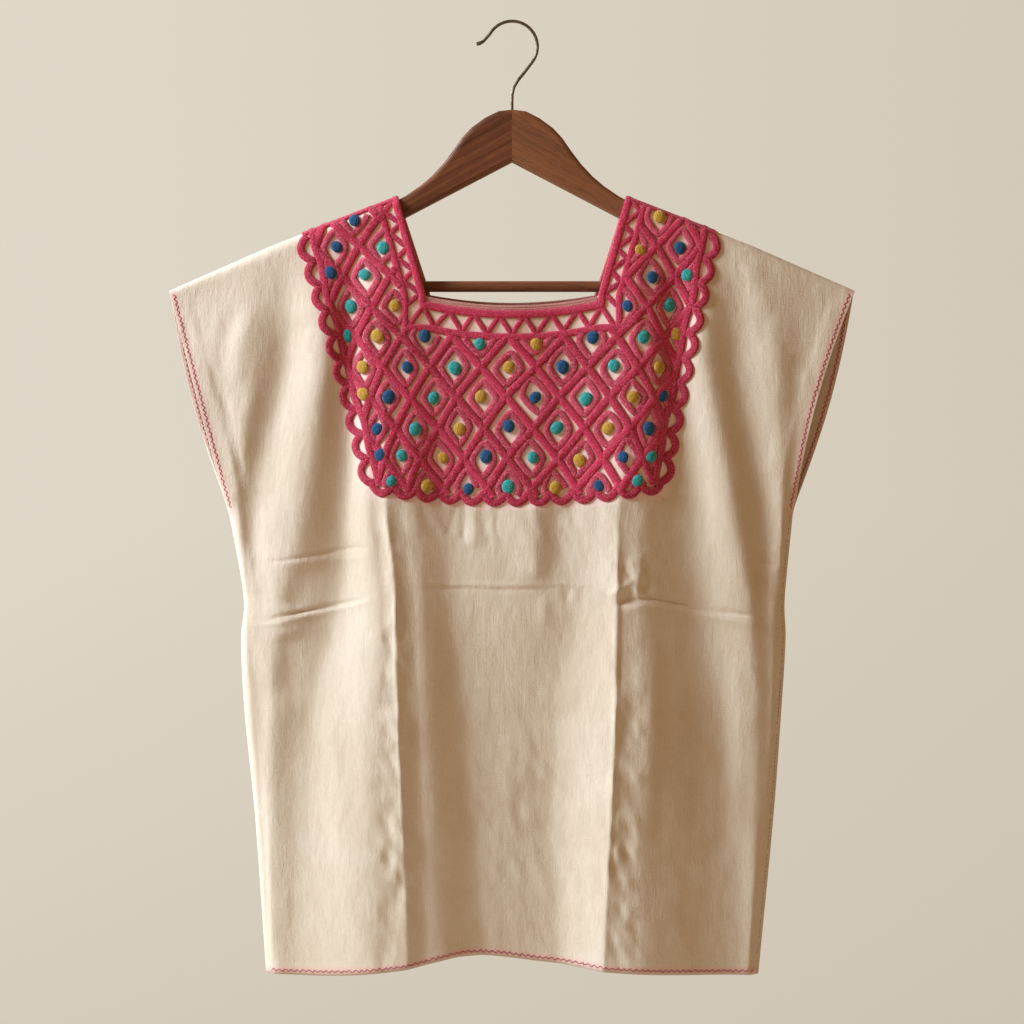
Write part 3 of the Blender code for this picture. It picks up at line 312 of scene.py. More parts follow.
# %% [markdown]
# ## Creases
# Cotton that was folded away keeps its press lines, and cloth that hangs from thick embroidery
# puckers under it. Each crease here is a line drawn over a few places of the cloth. It
# is a ridge where its height is above 0 and a trough where it is below, and it has a width and a
# sharpness of its own. The back has creases of the same kinds.
# %% Crease tables, in millimetres
CREASES = {
    "front": [          # height, width, sharpness from 0 to 1, x and z of the places
        (-1.5, 2.0, 1.0, [(-220, -474), (-197, -472), (-165, -466), (-137, -461), (-116, -463)]),
        (0.6, 2.8, 0.8, [(-200, -477), (-160, -472), (-116, -470)]),
        (-1.9, 2.1, 1.0, [(-222, -526), (-187, -518), (-144, -509), (-123, -505)]),
        (0.9, 2.8, 0.8, [(-234, -527), (-209, -528), (-178, -521), (-143, -513), (-100, -499)]),
        (-2.0, 15, 0.0, [(-183, -472), (-187, -499), (-192, -518)]),
        (-2.2, 13, 0.1, [(-197, -534), (-194, -560), (-197, -604)]),
        (-1.9, 2.4, 1.0, [(91, -510), (108, -506), (127, -506), (148, -511), (170, -516), (209, -520),
                          (238, -529)]),
        (1.3, 4.5, 0.4, [(91, -518), (113, -512), (148, -517), (183, -523), (238, -535)]),
        (0.8, 2.3, 1.0, [(-84, -491), (-50, -493), (-11, -494), (48, -493), (87, -497)]),
        (-0.9, 2.2, 1.0, [(-84, -495), (-50, -497), (-11, -498), (48, -497)]),
        (2.2, 6, 0.8, [(83, -504), (95, -496), (106, -489)]),
        (-1.7, 5, 0.7, [(88, -512), (99, -505), (107, -495)]),
        (-1.6, 4.5, 0.8, [(95, -472), (99, -482), (105, -490)]),
        (1.3, 5, 0.6, [(101, -470), (106, -479), (109, -492)]),
        (1.5, 4, 0.8, [(111, -463), (112, -481), (110, -493), (107, -506)]),
        (-0.9, 5, 0.4, [(116, -469), (116, -485), (114, -502)]),
        (-1.4, 1.7, 1.0, [(-42, -408), (-42, -437), (-43, -459)]),
        (-1.1, 1.7, 1.0, [(-44, -410), (-52, -437), (-58, -455)]),
        (0.9, 5, 0.3, [(-33, -418), (-33, -441), (-35, -465)]),
        (0.9, 2.4, 0.9, [(-21, -410), (-17, -446), (-15, -467)]),
        (2.6, 13, 0.2, [(16, -414), (19, -446), (20, -472), (19, -499)]),
        (-1.2, 12, 0.0, [(39, -419), (40, -455), (40, -493)]),
        (-0.9, 4, 0.6, [(48, -496), (48, -511)]),
        (0.8, 4, 0.6, [(56, -494), (55, -509)]),
        (0.7, 6, 0.3, [(28, -502), (28, -532)]),
        (1.6, 4, 1.0, [(-113, -416), (-109, -437), (-104, -472), (-101, -499), (-101, -551),
                       (-99, -595), (-97, -648), (-93, -727), (-90, -807)]),
        (0.9, 5, 0.6, [(-109, -481), (-105, -490), (-101, -500)]),
        (1.0, 6, 0.5, [(-121, -543), (-109, -531), (-101, -516)]),
        (1.6, 4, 1.0, [(92, -419), (92, -472), (91, -507), (90, -551), (90, -595), (88, -648),
                       (84, -727), (78, -811)]),
        (0.7, 3, 0.9, [(-55, -581), (-19, -583), (25, -585)]),
        (0.5, 8, 0.4, [(-81, -595), (-11, -598), (69, -595)]),
        (-1.0, 8, 0.2, [(-234, -409), (-233, -437), (-229, -472)]),
        (1.0, 7, 0.3, [(-241, -419), (-237, -455), (-231, -490)]),
        (-0.9, 7, 0.3, [(-224, -419), (-225, -455), (-224, -499)]),
        (1.1, 7, 0.5, [(213, -473), (224, -477), (237, -483)]),
        (-0.9, 5, 0.6, [(216, -470), (225, -473), (237, -477)]),
        (0.8, 5, 0.5, [(225, -511), (232, -512), (238, -513)]),
        (0.9, 3.2, 0.8, [(237, -424), (236, -455), (235, -507)]),
        (0.9, 3.2, 0.8, [(237, -532), (235, -578), (231, -648), (225, -736), (218, -824)]),
        (0.9, 3.2, 0.8, [(-238, -437), (-234, -499), (-232, -551), (-225, -648), (-218, -754),
                         (-213, -824)]),
        (1.0, 9, 0.2, [(-208, -543), (-209, -613), (-208, -683), (-201, -771)]),
        (-0.9, 9, 0.1, [(-220, -560), (-220, -648), (-213, -754)]),
        (0.7, 8, 0.3, [(-160, -595), (-153, -666), (-151, -754)]),
        (-0.6, 10, 0.1, [(-143, -543), (-141, -631), (-137, -736)]),
        (0.8, 8, 0.3, [(123, -543), (121, -631), (113, -736)]),
        (-0.7, 8, 0.2, [(134, -525), (132, -631), (123, -771)]),
        (0.8, 7, 0.3, [(194, -543), (199, -631), (195, -754)]),
        (-0.7, 8, 0.2, [(181, -543), (185, -648), (181, -771)]),
        (-2.2, 2.8, 1.0, [(-268, -290), (-255, -324), (-244, -358), (-238, -393), (-236, -424)]),
        (-0.6, 3, 0.8, [(95, -419), (95, -507), (93, -595), (92, -648), (87, -727), (82, -811)]),
        (-1.2, 8, 0.2, [(-239, -245), (-249, -275), (-253, -300), (-248, -335)]),
        (1.3, 10, 0.1, [(-229, -243), (-237, -285), (-241, -330)]),
        (1.3, 12, 0.1, [(-220, -296), (-233, -349), (-238, -393), (-237, -428)]),
        (1.1, 10, 0.1, [(262, -300), (248, -350), (242, -400)]),
        (-0.8, 5, 0.5, [(231, -268), (238, -281), (246, -290)]),
        (0.8, 6, 0.4, [(253, -298), (256, -307), (252, -321)]),
        (1.0, 9, 0.1, [(208, -206), (214, -232), (222, -262)]),
        (1.7, 17, 0.0, [(-179, -196), (-178, -236), (-177, -272)]),
    ],
    "back": [
        (1.8, 9, 0.9, [(-236, -512), (-150, -506), (-60, -500)]),
        (1.2, 8, 0.8, [(-60, -500), (20, -497), (96, -500)]),
        (1.8, 9, 0.9, [(96, -500), (160, -508), (236, -520)]),
        (1.3, 6, 1.0, [(-102, -360), (-99, -500), (-95, -660), (-92, -824)]),
        (1.3, 6, 1.0, [(98, -360), (95, -500), (93, -660), (88, -826)]),
        (-1.0, 7, 0.4, [(-70, -360), (-74, -392)]),
        (0.9, 7, 0.4, [(-52, -360), (-55, -400)]),
        (-1.0, 7, 0.4, [(38, -358), (42, -396)]),
        (0.9, 7, 0.3, [(64, -358), (70, -385)]),
        (0.7, 8, 0.4, [(-180, -600), (-60, -594), (70, -602)]),
        (1.2, 9, 0.3, [(-240, -535), (-220, -550), (-205, -580)]),
        (1.2, 9, 0.3, [(240, -535), (222, -552), (210, -580)]),
        (1.3, 12, 0.1, [(-268, -265), (-250, -330), (-240, -410)]),
        (1.3, 12, 0.1, [(268, -265), (252, -330), (240, -410)]),
        (-1.0, 11, 0.1, [(-236, -270), (-222, -340), (-212, -400)]),
        (-1.0, 11, 0.1, [(236, -270), (224, -340), (214, -400)]),
        (0.8, 8, 0.2, [(-30, -560), (-26, -680), (-22, -800)]),
        (-0.8, 9, 0.2, [(30, -540), (34, -660), (32, -790)]),
        (0.8, 8, 0.3, [(170, -600), (174, -700), (170, -800)]),
        (0.8, 8, 0.3, [(-176, -620), (-178, -720), (-174, -810)]),
    ],
}
CRUMPLES = {            # x, z, half width, half height, height of the ripples, their size across and down
    "front": [
        (-104, -590, 13, 70, 1.5, (7, 12)),
        (-104, -740, 17, 90, 2.0, (9, 15)),
        (98, -600, 15, 70, 1.6, (8, 13)),
        (96, -740, 21, 100, 1.7, (8, 13)),
        (100, -490, 24, 26, 1.2, (8, 10)),
        (30, -700, 50, 110, 0.85, (9, 17)),
        (-35, -720, 34, 110, 0.7, (10, 15)),
        (-225, -560, 18, 60, 0.8, (14, 18)),
        (-222, -455, 22, 40, 0.9, (7, 22)),
        (222, -590, 20, 90, 0.7, (13, 16)),
        (165, -700, 50, 120, 0.6, (13, 16)),
        (-165, -720, 40, 100, 0.5, (12, 30)),
        (0, -440, 100, 16, 0.8, (8, 20)),
        (-100, -455, 26, 30, 0.7, (9, 14)),
    ],
    "back": [
        (-96, -650, 22, 150, 0.75, (10, 14)),
        (92, -650, 22, 150, 0.75, (10, 14)),
        (0, -690, 90, 120, 0.35, (12, 10)),
        (0, -372, 110, 14, 0.5, (8, 20)),
        (-222, -580, 20, 80, 0.5, (13, 17)),
        (222, -580, 20, 80, 0.5, (13, 17)),
    ],
}
HEM_TURN = 8.0          # width of the turned hem
HEM_RISE = 0.45
CUFF_TURN = 17.0
CUFF_RISE = 0.5
CREASE_REACH = 4        # widths from its line where a crease ends
CREASE_WANDER = 0.35    # share of its height that comes and goes along it
CREASE_ENDS = 0.24      # share of its length where it fades at each end
YOKE_CALM = 0.75        # share of the creases' height that the embroidery takes away
print("creases:", {face: len(rows) for face, rows in CREASES.items()})


# %% Relief of the creases
def distance_along(x, z, places):
    """Distance to a line through the places, and the share of its length where that is."""
    fine = np.linspace(0, len(places) - 1, 12 * (len(places) - 1) + 1)
    index = np.arange(len(places))
    px = through(index, [p[0] for p in places], fine)
    pz = through(index, [p[1] for p in places], fine)
    best = np.full(x.shape, 1e9)
    share = np.zeros(x.shape)
    for k in range(len(fine) - 1):
        ax, az, bx, bz = px[k], pz[k], px[k + 1], pz[k + 1]
        length = (bx - ax) ** 2 + (bz - az) ** 2
        t = np.clip(((x - ax) * (bx - ax) + (z - az) * (bz - az)) / length, 0, 1)
        gap = np.hypot(x - ax - t * (bx - ax), z - az - t * (bz - az))
        share = np.where(gap < best, (k + t) / (len(fine) - 1), share)
        best = np.minimum(best, gap)
    return best, share


def crease_relief(face, x, z):
    relief = np.zeros(x.shape)
    for number, (height, width, sharp, places) in enumerate(CREASES[face]):
        xs, zs = [p[0] for p in places], [p[1] for p in places]
        reach = CREASE_REACH * width
        near = (x > min(xs) - reach) & (x < max(xs) + reach)
        near &= (z > min(zs) - reach) & (z < max(zs) + reach)
        gap, share = distance_along(x[near], z[near], places)
        wander = 1 + CREASE_WANDER * soft_noise(x[near], z[near], 26, 40 + number)
        round_top = np.exp(-((gap / width) ** 2))
        sharp_top = np.exp(-gap / (0.55 * width))
        ends = ease(np.minimum(share, 1 - share) / CREASE_ENDS)
        relief[near] += height * wander * ends * (round_top * (1 - sharp) + sharp_top * sharp)
    return relief


def crumple_relief(face, x, z):
    relief = 0.55 * soft_noise(x, z, (46, 70), 3) + 0.28 * soft_noise(x, z, (19, 27), 4)
    relief += 0.13 * soft_noise(x + 0.2 * z, z, (8, 13), 5) + 0.12 * soft_noise(x, z, (7, 34), 6)
    for number, (cx, cz, half_x, half_z, height, size) in enumerate(CRUMPLES[face]):
        spread = np.exp(-(((x - cx) / half_x) ** 2) - ((z - cz) / half_z) ** 2)
        tilted = x + 0.35 * z
        relief += height * spread * soft_noise(tilted, z, size, 60 + number)
    return relief


def turned_edges(face, x, z):
    """The second layer inside the hem and cuffs, seen as a low step."""
    hem = hem_z(face, x)
    step = HEM_RISE * (1 - ease((z - hem - HEM_TURN + 1.5) / 3))
    inward = np.minimum(x - edge_x(face, z, 1), edge_x(face, z, 2) - x)
    on_sleeve = ease((cuff_share(z) - 0.02) / 0.06) * ease((1 - cuff_share(z)) / 0.06)
    return step + CUFF_RISE * on_sleeve * (1 - ease((inward - CUFF_TURN + 2) / 4))


def depth(face, x, z):
    """Depth of the cloth's outer face with all its creases."""
    x, z = np.asarray(x, float), np.asarray(z, float)
    main = main_depth(face, x, z)
    calm = ease((main - 1.5) / 5) * (1 - YOKE_CALM * ease((room(face, x, z) + 9) / 6))
    small = crease_relief(face, x, z) + crumple_relief(face, x, z) + turned_edges(face, x, z)
    return main + calm * small


SEAM_HALF = 0.08        # of the gap between the panels
SLOPE_STEP = 0.6


def surface(face, x, z, lift=0.0):
    """Places on the cloth of a face, lifted off it, as rows of x, y, z in millimetres."""
    x, z = np.asarray(x, float), np.asarray(z, float)
    step = SLOPE_STEP
    here = depth(face, x, z)
    slope_x = (depth(face, x + step, z) - depth(face, x - step, z)) / (2 * step)
    slope_z = (depth(face, x, z + step) - depth(face, x, z - step)) / (2 * step)
    out = OUTWARD[face]
    normal = np.stack([-slope_x, np.full(x.shape, float(out)), -slope_z], axis=-1)
    normal /= np.linalg.norm(normal, axis=-1, keepdims=True)
    place = np.stack([x, out * (SEAM_HALF + here), z], axis=-1)
    return place + normal * np.asarray(lift, float)[..., None], normal


print("creased depth:", round(float(depth("front", np.array([-98.0]), np.array([-600.0]))[0]), 1), "mm")

# %% [markdown]
# ## The cotton panels
# A panel is a net of rows and columns. The rows start along the shoulders and flatten towards the
# hem, and the columns bend to the cuffs, the sides and the neck's corners, so every edge of the
# cut is an edge of the net. The wall is 0.9 mm of cloth, and the net's lengths give the UV map,
# so that the weave stays even over the folds.
# %% Net of a panel
SIDE_STEPS = ((0.09, 2.3), (0.75, 3.9), (1.0, 2.4))   # share of the width, column step up to it
MIDDLE_STEP = 2.5
ROW_STEPS = ((-415, 4.2), (-530, 1.8), (HEM_LEVEL, 3.2))     # z, row step down to it
ROUND_STARTS = (0, 0.4, 1.1, 2.2, 3.8, 6.0)
CLOTH_THICK = 0.9
SEAM_TILT = 0.25        # keeps the wall at the seams along the cloth, so that both panels meet


def graded(length, steps, from_start=True):
    """Shares from 0 to 1, fine at the start where a seam is round. Steps is (share, step) rows."""
    places, start = list(ROUND_STARTS), ROUND_STARTS[-1]
    for share, step in steps:
        count = max(1, round((share * length - start) / step))
        places += list(np.linspace(start, share * length, count + 1)[1:])
        start = share * length
    shares = np.array(places) / length
    return shares if from_start else 1 - shares[::-1]


def row_z(face, x, s):
    hem = hem_z(face, x)
    top = shoulder_z(x)
    return top + s * (HEM_LEVEL - top) + s ** 4 * (hem - HEM_LEVEL)


def settle(face, s, place):
    """The x and z where a row meets an edge, which place gives as x at each z."""
    z = np.full(s.shape, SHOULDER[-1][1])
    for _ in range(30):
        x = place(z)
        z = row_z(face, x, s)
    return x, z


def panel_net(face):
    """Rows of x and z, with the first row below the neck, and the columns at the neck's corners."""
    corner = NECK[face]
    neck_s = (corner["corner_z"] - SHOULDER[0][1]) / (HEM_LEVEL - SHOULDER[0][1])
    whole = SHOULDER[0][1] - HEM_LEVEL
    above = graded(neck_s * whole, ((1.0, ROW_STEPS[0][1]),)) * neck_s
    below, start = [], corner["corner_z"]
    for z, step in ROW_STEPS:
        count = round((start - z) / step)
        below += list(np.linspace(start, z, count + 1)[1:])
        start = z
    rows = np.concatenate([above, (SHOULDER[0][1] - np.array(below)) / whole])
    neck_row = len(above) - 1
    left, _ = settle(face, rows, lambda z: edge_x(face, z, 1))
    right, _ = settle(face, rows, lambda z: edge_x(face, z, 2))
    near_left, _ = settle(face, rows, lambda z: -neck_side(face, z))
    near_right, _ = settle(face, rows, lambda z: neck_side(face, z))
    side_width = SHOULDER[-1][0] - SHOULDER[0][0] + 10
    left_shares, right_shares = graded(side_width, SIDE_STEPS), graded(side_width, SIDE_STEPS, False)
    middle_count = round(2 * corner["corner_x"] / MIDDLE_STEP)
    x = np.concatenate([
        left[:, None] + (near_left - left)[:, None] * left_shares,
        (near_left[:, None] + (near_right - near_left)[:, None]
         * np.arange(1, middle_count) / middle_count),
        near_right[:, None] + (right - near_right)[:, None] * right_shares,
    ], axis=1)
    z = row_z(face, x, rows[:, None])
    first, last = len(left_shares) - 1, len(left_shares) + middle_count - 1
    fade = np.clip(1 - (rows - neck_s) / 0.1, 0, 1)[:, None] ** 2
    inside = np.zeros(x.shape)
    inside[neck_row:, first:last + 1] = 1
    return x, z + neck_sag(face, x) * fade * inside, neck_row, first, last


def from_edge(face, x, z):
    """Distance in metres from the nearest turned edge, a hem or a cuff."""
    hem = hem_z(face, x)
    inward = np.minimum(x - edge_x(face, z, 1), edge_x(face, z, 2) - x)
    return np.minimum(z - hem, np.hypot(inward, np.maximum(UNDERARM_Z - z, 0))) * MM


def net_lengths(points, first, start_u):
    """U and V of each place of the net, in metres, measured along the cloth."""
    across = np.linalg.norm(np.diff(points, axis=1), axis=2)
    u = np.concatenate([np.zeros((len(points), 1)), np.cumsum(across, axis=1)], axis=1)
    u = u - u[:, first:first + 1] + start_u[:, None]
    down = np.linalg.norm(np.diff(points, axis=0), axis=2)
    v = np.concatenate([np.zeros((1, points.shape[1])), -np.cumsum(down, axis=0)], axis=0)
    return np.stack([u, v + points[:1, :, 2]], axis=-1) * MM


# %% Shell of a panel
def grid_normals(points, out):
    """Outward normals of a net of places."""
    across = np.gradient(points, axis=1)
    down = np.gradient(points, axis=0)
    normal = np.cross(across, down)
    normal /= np.maximum(np.linalg.norm(normal, axis=2, keepdims=True), 1e-9)
    return normal * np.where(normal[..., 1:2] * out < 0, -1, 1)


def quads_facing(points, quads, out):
    """The quads with their corners ordered so that they face outwards."""
    a, b, c = (points[quads[:, k]] for k in range(3))
    facing = np.cross(b - a, c - a)[:, 1] * out
    turned = quads.copy()
    turned[facing < 0] = quads[facing < 0][:, ::-1]
    return turned


def boundary(quads):
    """Directed edges that only one quad has."""
    edges = {}
    for quad in quads.tolist():
        for k in range(4):
            edges[(quad[k], quad[(k + 1) % 4])] = True
    return [(a, b) for a, b in edges if (b, a) not in edges]


def make_object(name, data):
    """An object in the scene with this mesh, light or camera."""
    obj = bpy.data.objects.new(name, data)
    bpy.context.scene.collection.objects.link(obj)
    return obj


def give_values(mesh, label, values):
    """An attribute of the mesh's points, with one number each or a row of three."""
    values = np.asarray(values, float)
    kind, key = ("FLOAT_VECTOR", "vector") if values.ndim > 1 else ("FLOAT", "value")
    mesh.attributes.new(label, kind, "POINT").data.foreach_set(key, values.ravel())


def make_mesh(name, points, faces, uv=None, smooth=True):
    """A mesh object from places in millimetres."""
    mesh = bpy.data.meshes.new(name)
    mesh.from_pydata((np.asarray(points) * MM).tolist(), [], [list(f) for f in faces])
    if uv is not None:
        layer = mesh.uv_layers.new(name="UVMap")
        corners = np.zeros(len(mesh.loops), int)
        mesh.loops.foreach_get("vertex_index", corners)
        layer.data.foreach_set("uv", np.asarray(uv)[corners].ravel())
    mesh.polygons.foreach_set("use_smooth", [smooth] * len(mesh.polygons))
    return make_object(name, mesh)


def make_panel(face):
    """One cotton panel as a closed shell, and the flat area of its outer face in square metres."""
    x, z, neck_row, first, last = panel_net(face)
    out = OUTWARD[face]
    points = np.stack([x, out * (SEAM_HALF + depth(face, x, z)), z], axis=-1)
    normal = grid_normals(points, out)
    for seam in (normal[0], normal[:, 0], normal[:, -1]):
        seam[:, 1] *= SEAM_TILT
    normal /= np.linalg.norm(normal, axis=2, keepdims=True)
    inner = points - normal * CLOTH_THICK
    inner[..., 1] = out * np.maximum(out * inner[..., 1], SEAM_HALF)
    kept = np.ones(x.shape, bool)
    kept[:neck_row, first + 1:last] = False
    number = np.full(x.shape, -1)
    number[kept] = np.arange(kept.sum())
    corners = np.stack([number[:-1, :-1], number[1:, :-1], number[1:, 1:], number[:-1, 1:]], axis=-1)
    gap = np.zeros(corners.shape[:2], bool)
    gap[:neck_row, first:last] = True
    quads = corners[~gap].reshape(-1, 4)
    outer_points, inner_points = points[kept], inner[kept]
    quads = quads_facing(outer_points, quads, out)
    shift = len(outer_points)
    rim = [(b, a, a + shift, b + shift) for a, b in boundary(quads)]
    faces = quads.tolist() + (quads[:, ::-1] + shift).tolist() + rim
    uv = net_lengths(points, first, x[:, first])[kept]
    obj = make_mesh(face + "_cotton", np.concatenate([outer_points, inner_points]), faces,
                    np.concatenate([uv, uv]))
    # Where the cloth under the yoke is painted lighter.
    under_yoke = ease((room(face, x, z) + 16) / 5) * (z > low_z(face, x) - 12)
    for label, values in (("from_edge", from_edge(face, x, z)), ("under_yoke", under_yoke)):
        give_values(obj.data, label, np.concatenate([values[kept], values[kept]]))
    a, b, c, d = (outer_points[quads[:, k]] * MM for k in range(4))
    area = np.linalg.norm(np.cross(c - a, d - b), axis=1).sum() / 2
    print(obj.name, "faces:", len(faces), "area:", round(float(area), 3), "m2")
    return obj, float(area)


# %% [markdown]
# ## Weave
# Coarse plain cotton shows crossing threads, some of them thick for a few centimetres. One node
# group gives the height of that weave and a mask of its thick threads and stains, from the
# panel's own UV map in metres. It serves the panels and what shows between the embroidery.
# %% Node helpers and the weave group
def new_group(name, inputs, outputs):
    """A shader node group with named sockets: (name, type, default)."""
    group = bpy.data.node_groups.new(name, "ShaderNodeTree")
    for label, kind, default in inputs:
        socket = group.interface.new_socket(label, in_out="INPUT", socket_type=kind)
        socket.default_value = default
    for label, kind in outputs:
        group.interface.new_socket(label, in_out="OUTPUT", socket_type=kind)
    return group, group.nodes.new("NodeGroupInput"), group.nodes.new("NodeGroupOutput")


def add(tree, kind, settings=None, **inputs):
    """A node with its settings and inputs. An input is a value or another node's socket."""
    node = tree.nodes.new(kind)
    for key, value in (settings or {}).items():
        setattr(node, key, value)
    for key, value in inputs.items():
        socket = node.inputs[int(key[1:]) if key[0] == "i" and key[1:].isdigit() else key.replace("_", " ")]
        if isinstance(value, bpy.types.NodeSocket):
            tree.links.new(value, socket)
        else:
            socket.default_value = value
    return node


def set_inputs(node, **values):
    """Plain values on a node's own sockets."""
    for key, value in values.items():
        node.inputs[key.replace("_", " ")].default_value = value


def put_out(group, result, **values):
    """The group's outputs, each fed by a socket."""
    for label, socket in values.items():
        group.links.new(socket, result.inputs[label])


def math_node(tree, operation, *values):
    return add(tree, "ShaderNodeMath", {"operation": operation},
               **{f"i{k}": v for k, v in enumerate(values)}).outputs[0]


def mix_colour(tree, share, a, b, blend="MIX"):
    node = tree.nodes.new("ShaderNodeMix")
    node.data_type = "RGBA"
    node.blend_type = blend
    for socket, value in ((node.inputs[0], share), (node.inputs[6], a), (node.inputs[7], b)):
        if isinstance(value, bpy.types.NodeSocket):
            tree.links.new(value, socket)
        else:
            socket.default_value = value
    return node.outputs[2]


def noise(tree, vector, scale, detail=3.0, rough=0.55):
    return add(tree, "ShaderNodeTexNoise", Vector=vector, Scale=scale, Detail=detail,
               Roughness=rough).outputs["Fac"]


def stretched(tree, vector, scale):
    return add(tree, "ShaderNodeMapping", Vector=vector, Scale=scale).outputs[0]


def ranged(tree, value, low, high, to_low=0.0, to_high=1.0):
    return add(tree, "ShaderNodeMapRange", {"clamp": True}, i0=value, i1=low, i2=high,
               i3=to_low, i4=to_high).outputs[0]


def linear(red, green, blue):
    """A display colour, 0 to 255, as Blender's linear colour."""
    values = [c / 255 for c in (red, green, blue)]
    return tuple(c / 12.92 if c <= 0.04045 else ((c + 0.055) / 1.055) ** 2.4 for c in values) + (1.0,)


def make_weave_group():
    group, given, result = new_group(
        "plain_weave",
        [("UV", "NodeSocketVector", (0, 0, 0)), ("Threads per metre", "NodeSocketFloat", 1100.0)],
        [("Height", "NodeSocketFloat"), ("Slubs", "NodeSocketFloat"), ("Cloudiness", "NodeSocketFloat")],
    )
    uv, count = given.outputs["UV"], given.outputs["Threads per metre"]
    wobble = add(group, "ShaderNodeTexNoise", Vector=uv, Scale=90.0, Detail=2.0).outputs["Color"]
    moved = add(group, "ShaderNodeVectorMath", {"operation": "MULTIPLY_ADD"},
                i0=wobble, i1=(0.0012, 0.0012, 0), i2=uv).outputs[0]
    split = add(group, "ShaderNodeSeparateXYZ", Vector=moved)
    turn = math_node(group, "MULTIPLY", count, math.pi)
    warp = math_node(group, "SINE", math_node(group, "MULTIPLY", split.outputs["X"], turn))
    weft = math_node(group, "SINE", math_node(group, "MULTIPLY", split.outputs["Y"], turn))
    crossing = math_node(group, "MULTIPLY", warp, weft)
    along_warp = noise(group, stretched(group, uv, (900, 26, 1)), 1.0, 2.0)
    along_weft = noise(group, stretched(group, uv, (22, 800, 1)), 1.0, 2.0)
    thick_warp = ranged(group, along_warp, 0.56, 0.74)
    thick_weft = ranged(group, along_weft, 0.55, 0.72)
    slubs = math_node(group, "MAXIMUM", thick_warp, thick_weft)
    height = math_node(group, "MULTIPLY_ADD", crossing, 0.4, slubs)
    clouds = noise(group, uv, 9.0, 4.0, 0.6)
    put_out(group, result, Height=height, Slubs=slubs, Cloudiness=clouds)
    return group


WEAVE = make_weave_group()


# %% Cotton material
def new_material(name):
    material = bpy.data.materials.new(name)
    material.use_nodes = True
    tree = material.node_tree
    return material, tree, tree.nodes["Principled BSDF"]


def read_mask(tree, label):
    """The mesh's own number under this name."""
    return add(tree, "ShaderNodeAttribute", {"attribute_name": label}).outputs["Fac"]


def make_cotton(name, light, dark):
    material, tree, shader = new_material(name)
    uv = add(tree, "ShaderNodeUVMap", {"uv_map": "UVMap"}).outputs[0]
    weave = add(tree, "ShaderNodeGroup", {"node_tree": WEAVE}, UV=uv)
    cloudy = ranged(tree, weave.outputs["Cloudiness"], 0.3, 0.7)
    ground = mix_colour(tree, cloudy, dark, light)
    fine = noise(tree, stretched(tree, uv, (500, 160, 1)), 1.0, 3.0)
    ground = mix_colour(tree, ranged(tree, fine, 0.35, 0.75, 0.0, 0.22), ground, linear(204, 178, 142))
    ground = mix_colour(tree, math_node(tree, "MULTIPLY", weave.outputs["Slubs"], 0.25), ground,
                        linear(240, 228, 206))
    specks = noise(tree, uv, 420.0, 2.0)
    ground = mix_colour(tree, ranged(tree, specks, 0.74, 0.8, 0.0, 0.5), ground, linear(150, 112, 76))
    # A pale pink band along the zigzag line of the hems and cuffs is a painted highlight: a pink glow
    # painted on the cloth beside the rose stitches.
    edge = read_mask(tree, "from_edge")
    off_line = math_node(tree, "ABSOLUTE", math_node(tree, "SUBTRACT", edge, STITCH_INSET * MM))
    painted_glow = ranged(tree, off_line, 0.0046, 0.0008, 0.0, 0.62)
    ground = mix_colour(tree, painted_glow, ground, linear(240, 188, 180))
    # Under the yoke the ground is painted paler and pinker: painted light, which takes the place of the
    # cords' shadows on it.
    yoke = read_mask(tree, "under_yoke")
    ground = mix_colour(tree, math_node(tree, "MULTIPLY", yoke, 0.85), ground, linear(253, 226, 218))
    tree.links.new(ground, shader.inputs["Base Color"])
    set_inputs(shader, Roughness=0.92, Sheen_Weight=0.25, Sheen_Roughness=0.6, Specular_IOR_Level=0.2)
    ripples = noise(tree, stretched(tree, uv, (150, 60, 1)), 1.0, 4.0, 0.6)
    grain = noise(tree, uv, 620.0, 2.0, 0.6)
    bump = add(tree, "ShaderNodeBump", Height=weave.outputs["Height"], Strength=0.35, Distance=0.0004)
    for height, strength, distance in ((ripples, 0.6, 0.0012), (grain, 0.5, 0.0005)):
        bump = add(tree, "ShaderNodeBump", Height=height, Strength=strength, Distance=distance,
                   Normal=bump.outputs[0])
    tree.links.new(bump.outputs[0], shader.inputs["Normal"])
    return material


STITCH_INSET = 3.6      # of the zigzag from a hem's or cuff's edge, in millimetres
COTTON = make_cotton("natural_cotton", linear(238, 227, 208), linear(230, 215, 192))
print("materials:", [m.name for m in bpy.data.materials])

# %% The two panels
SHEETS = {}
for side in FACES:
    panel, panel_area = make_panel(side)
    panel.data.materials.append(COTTON)
    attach(panel, "root")
    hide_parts(side + "_panel")
    SHEETS[side] = (panel, panel_area)

# %% [markdown]
# ## Embroidered yoke
# The yoke is thick thread laid in cords on the cotton: a diamond lattice, a ring in each diamond,
# a zigzag band round the neck and scalloped loops along the outer edge. A cord could be a curve
# with a bevel, but a bevel can't lie flat on cloth that turns. So each path is worked out in the
# front view, put on the panel's surface with the panel's own normal, and a Geometry Nodes tree
# sweeps a flattened section along it.
# %% Paths of the cords
def inside_runs(face, path, margin):
    """The stretches of a path that lie inside the field."""
    inside = room(face, path[:, 0], path[:, 1]) > margin
    runs, start = [], None
    for k, good in enumerate(list(inside) + [False]):
        if good and start is None:
            start = k
        if not good and start is not None:
            if k - start > 9:
                runs.append(path[start:k])
            start = None
    return runs, inside.mean()


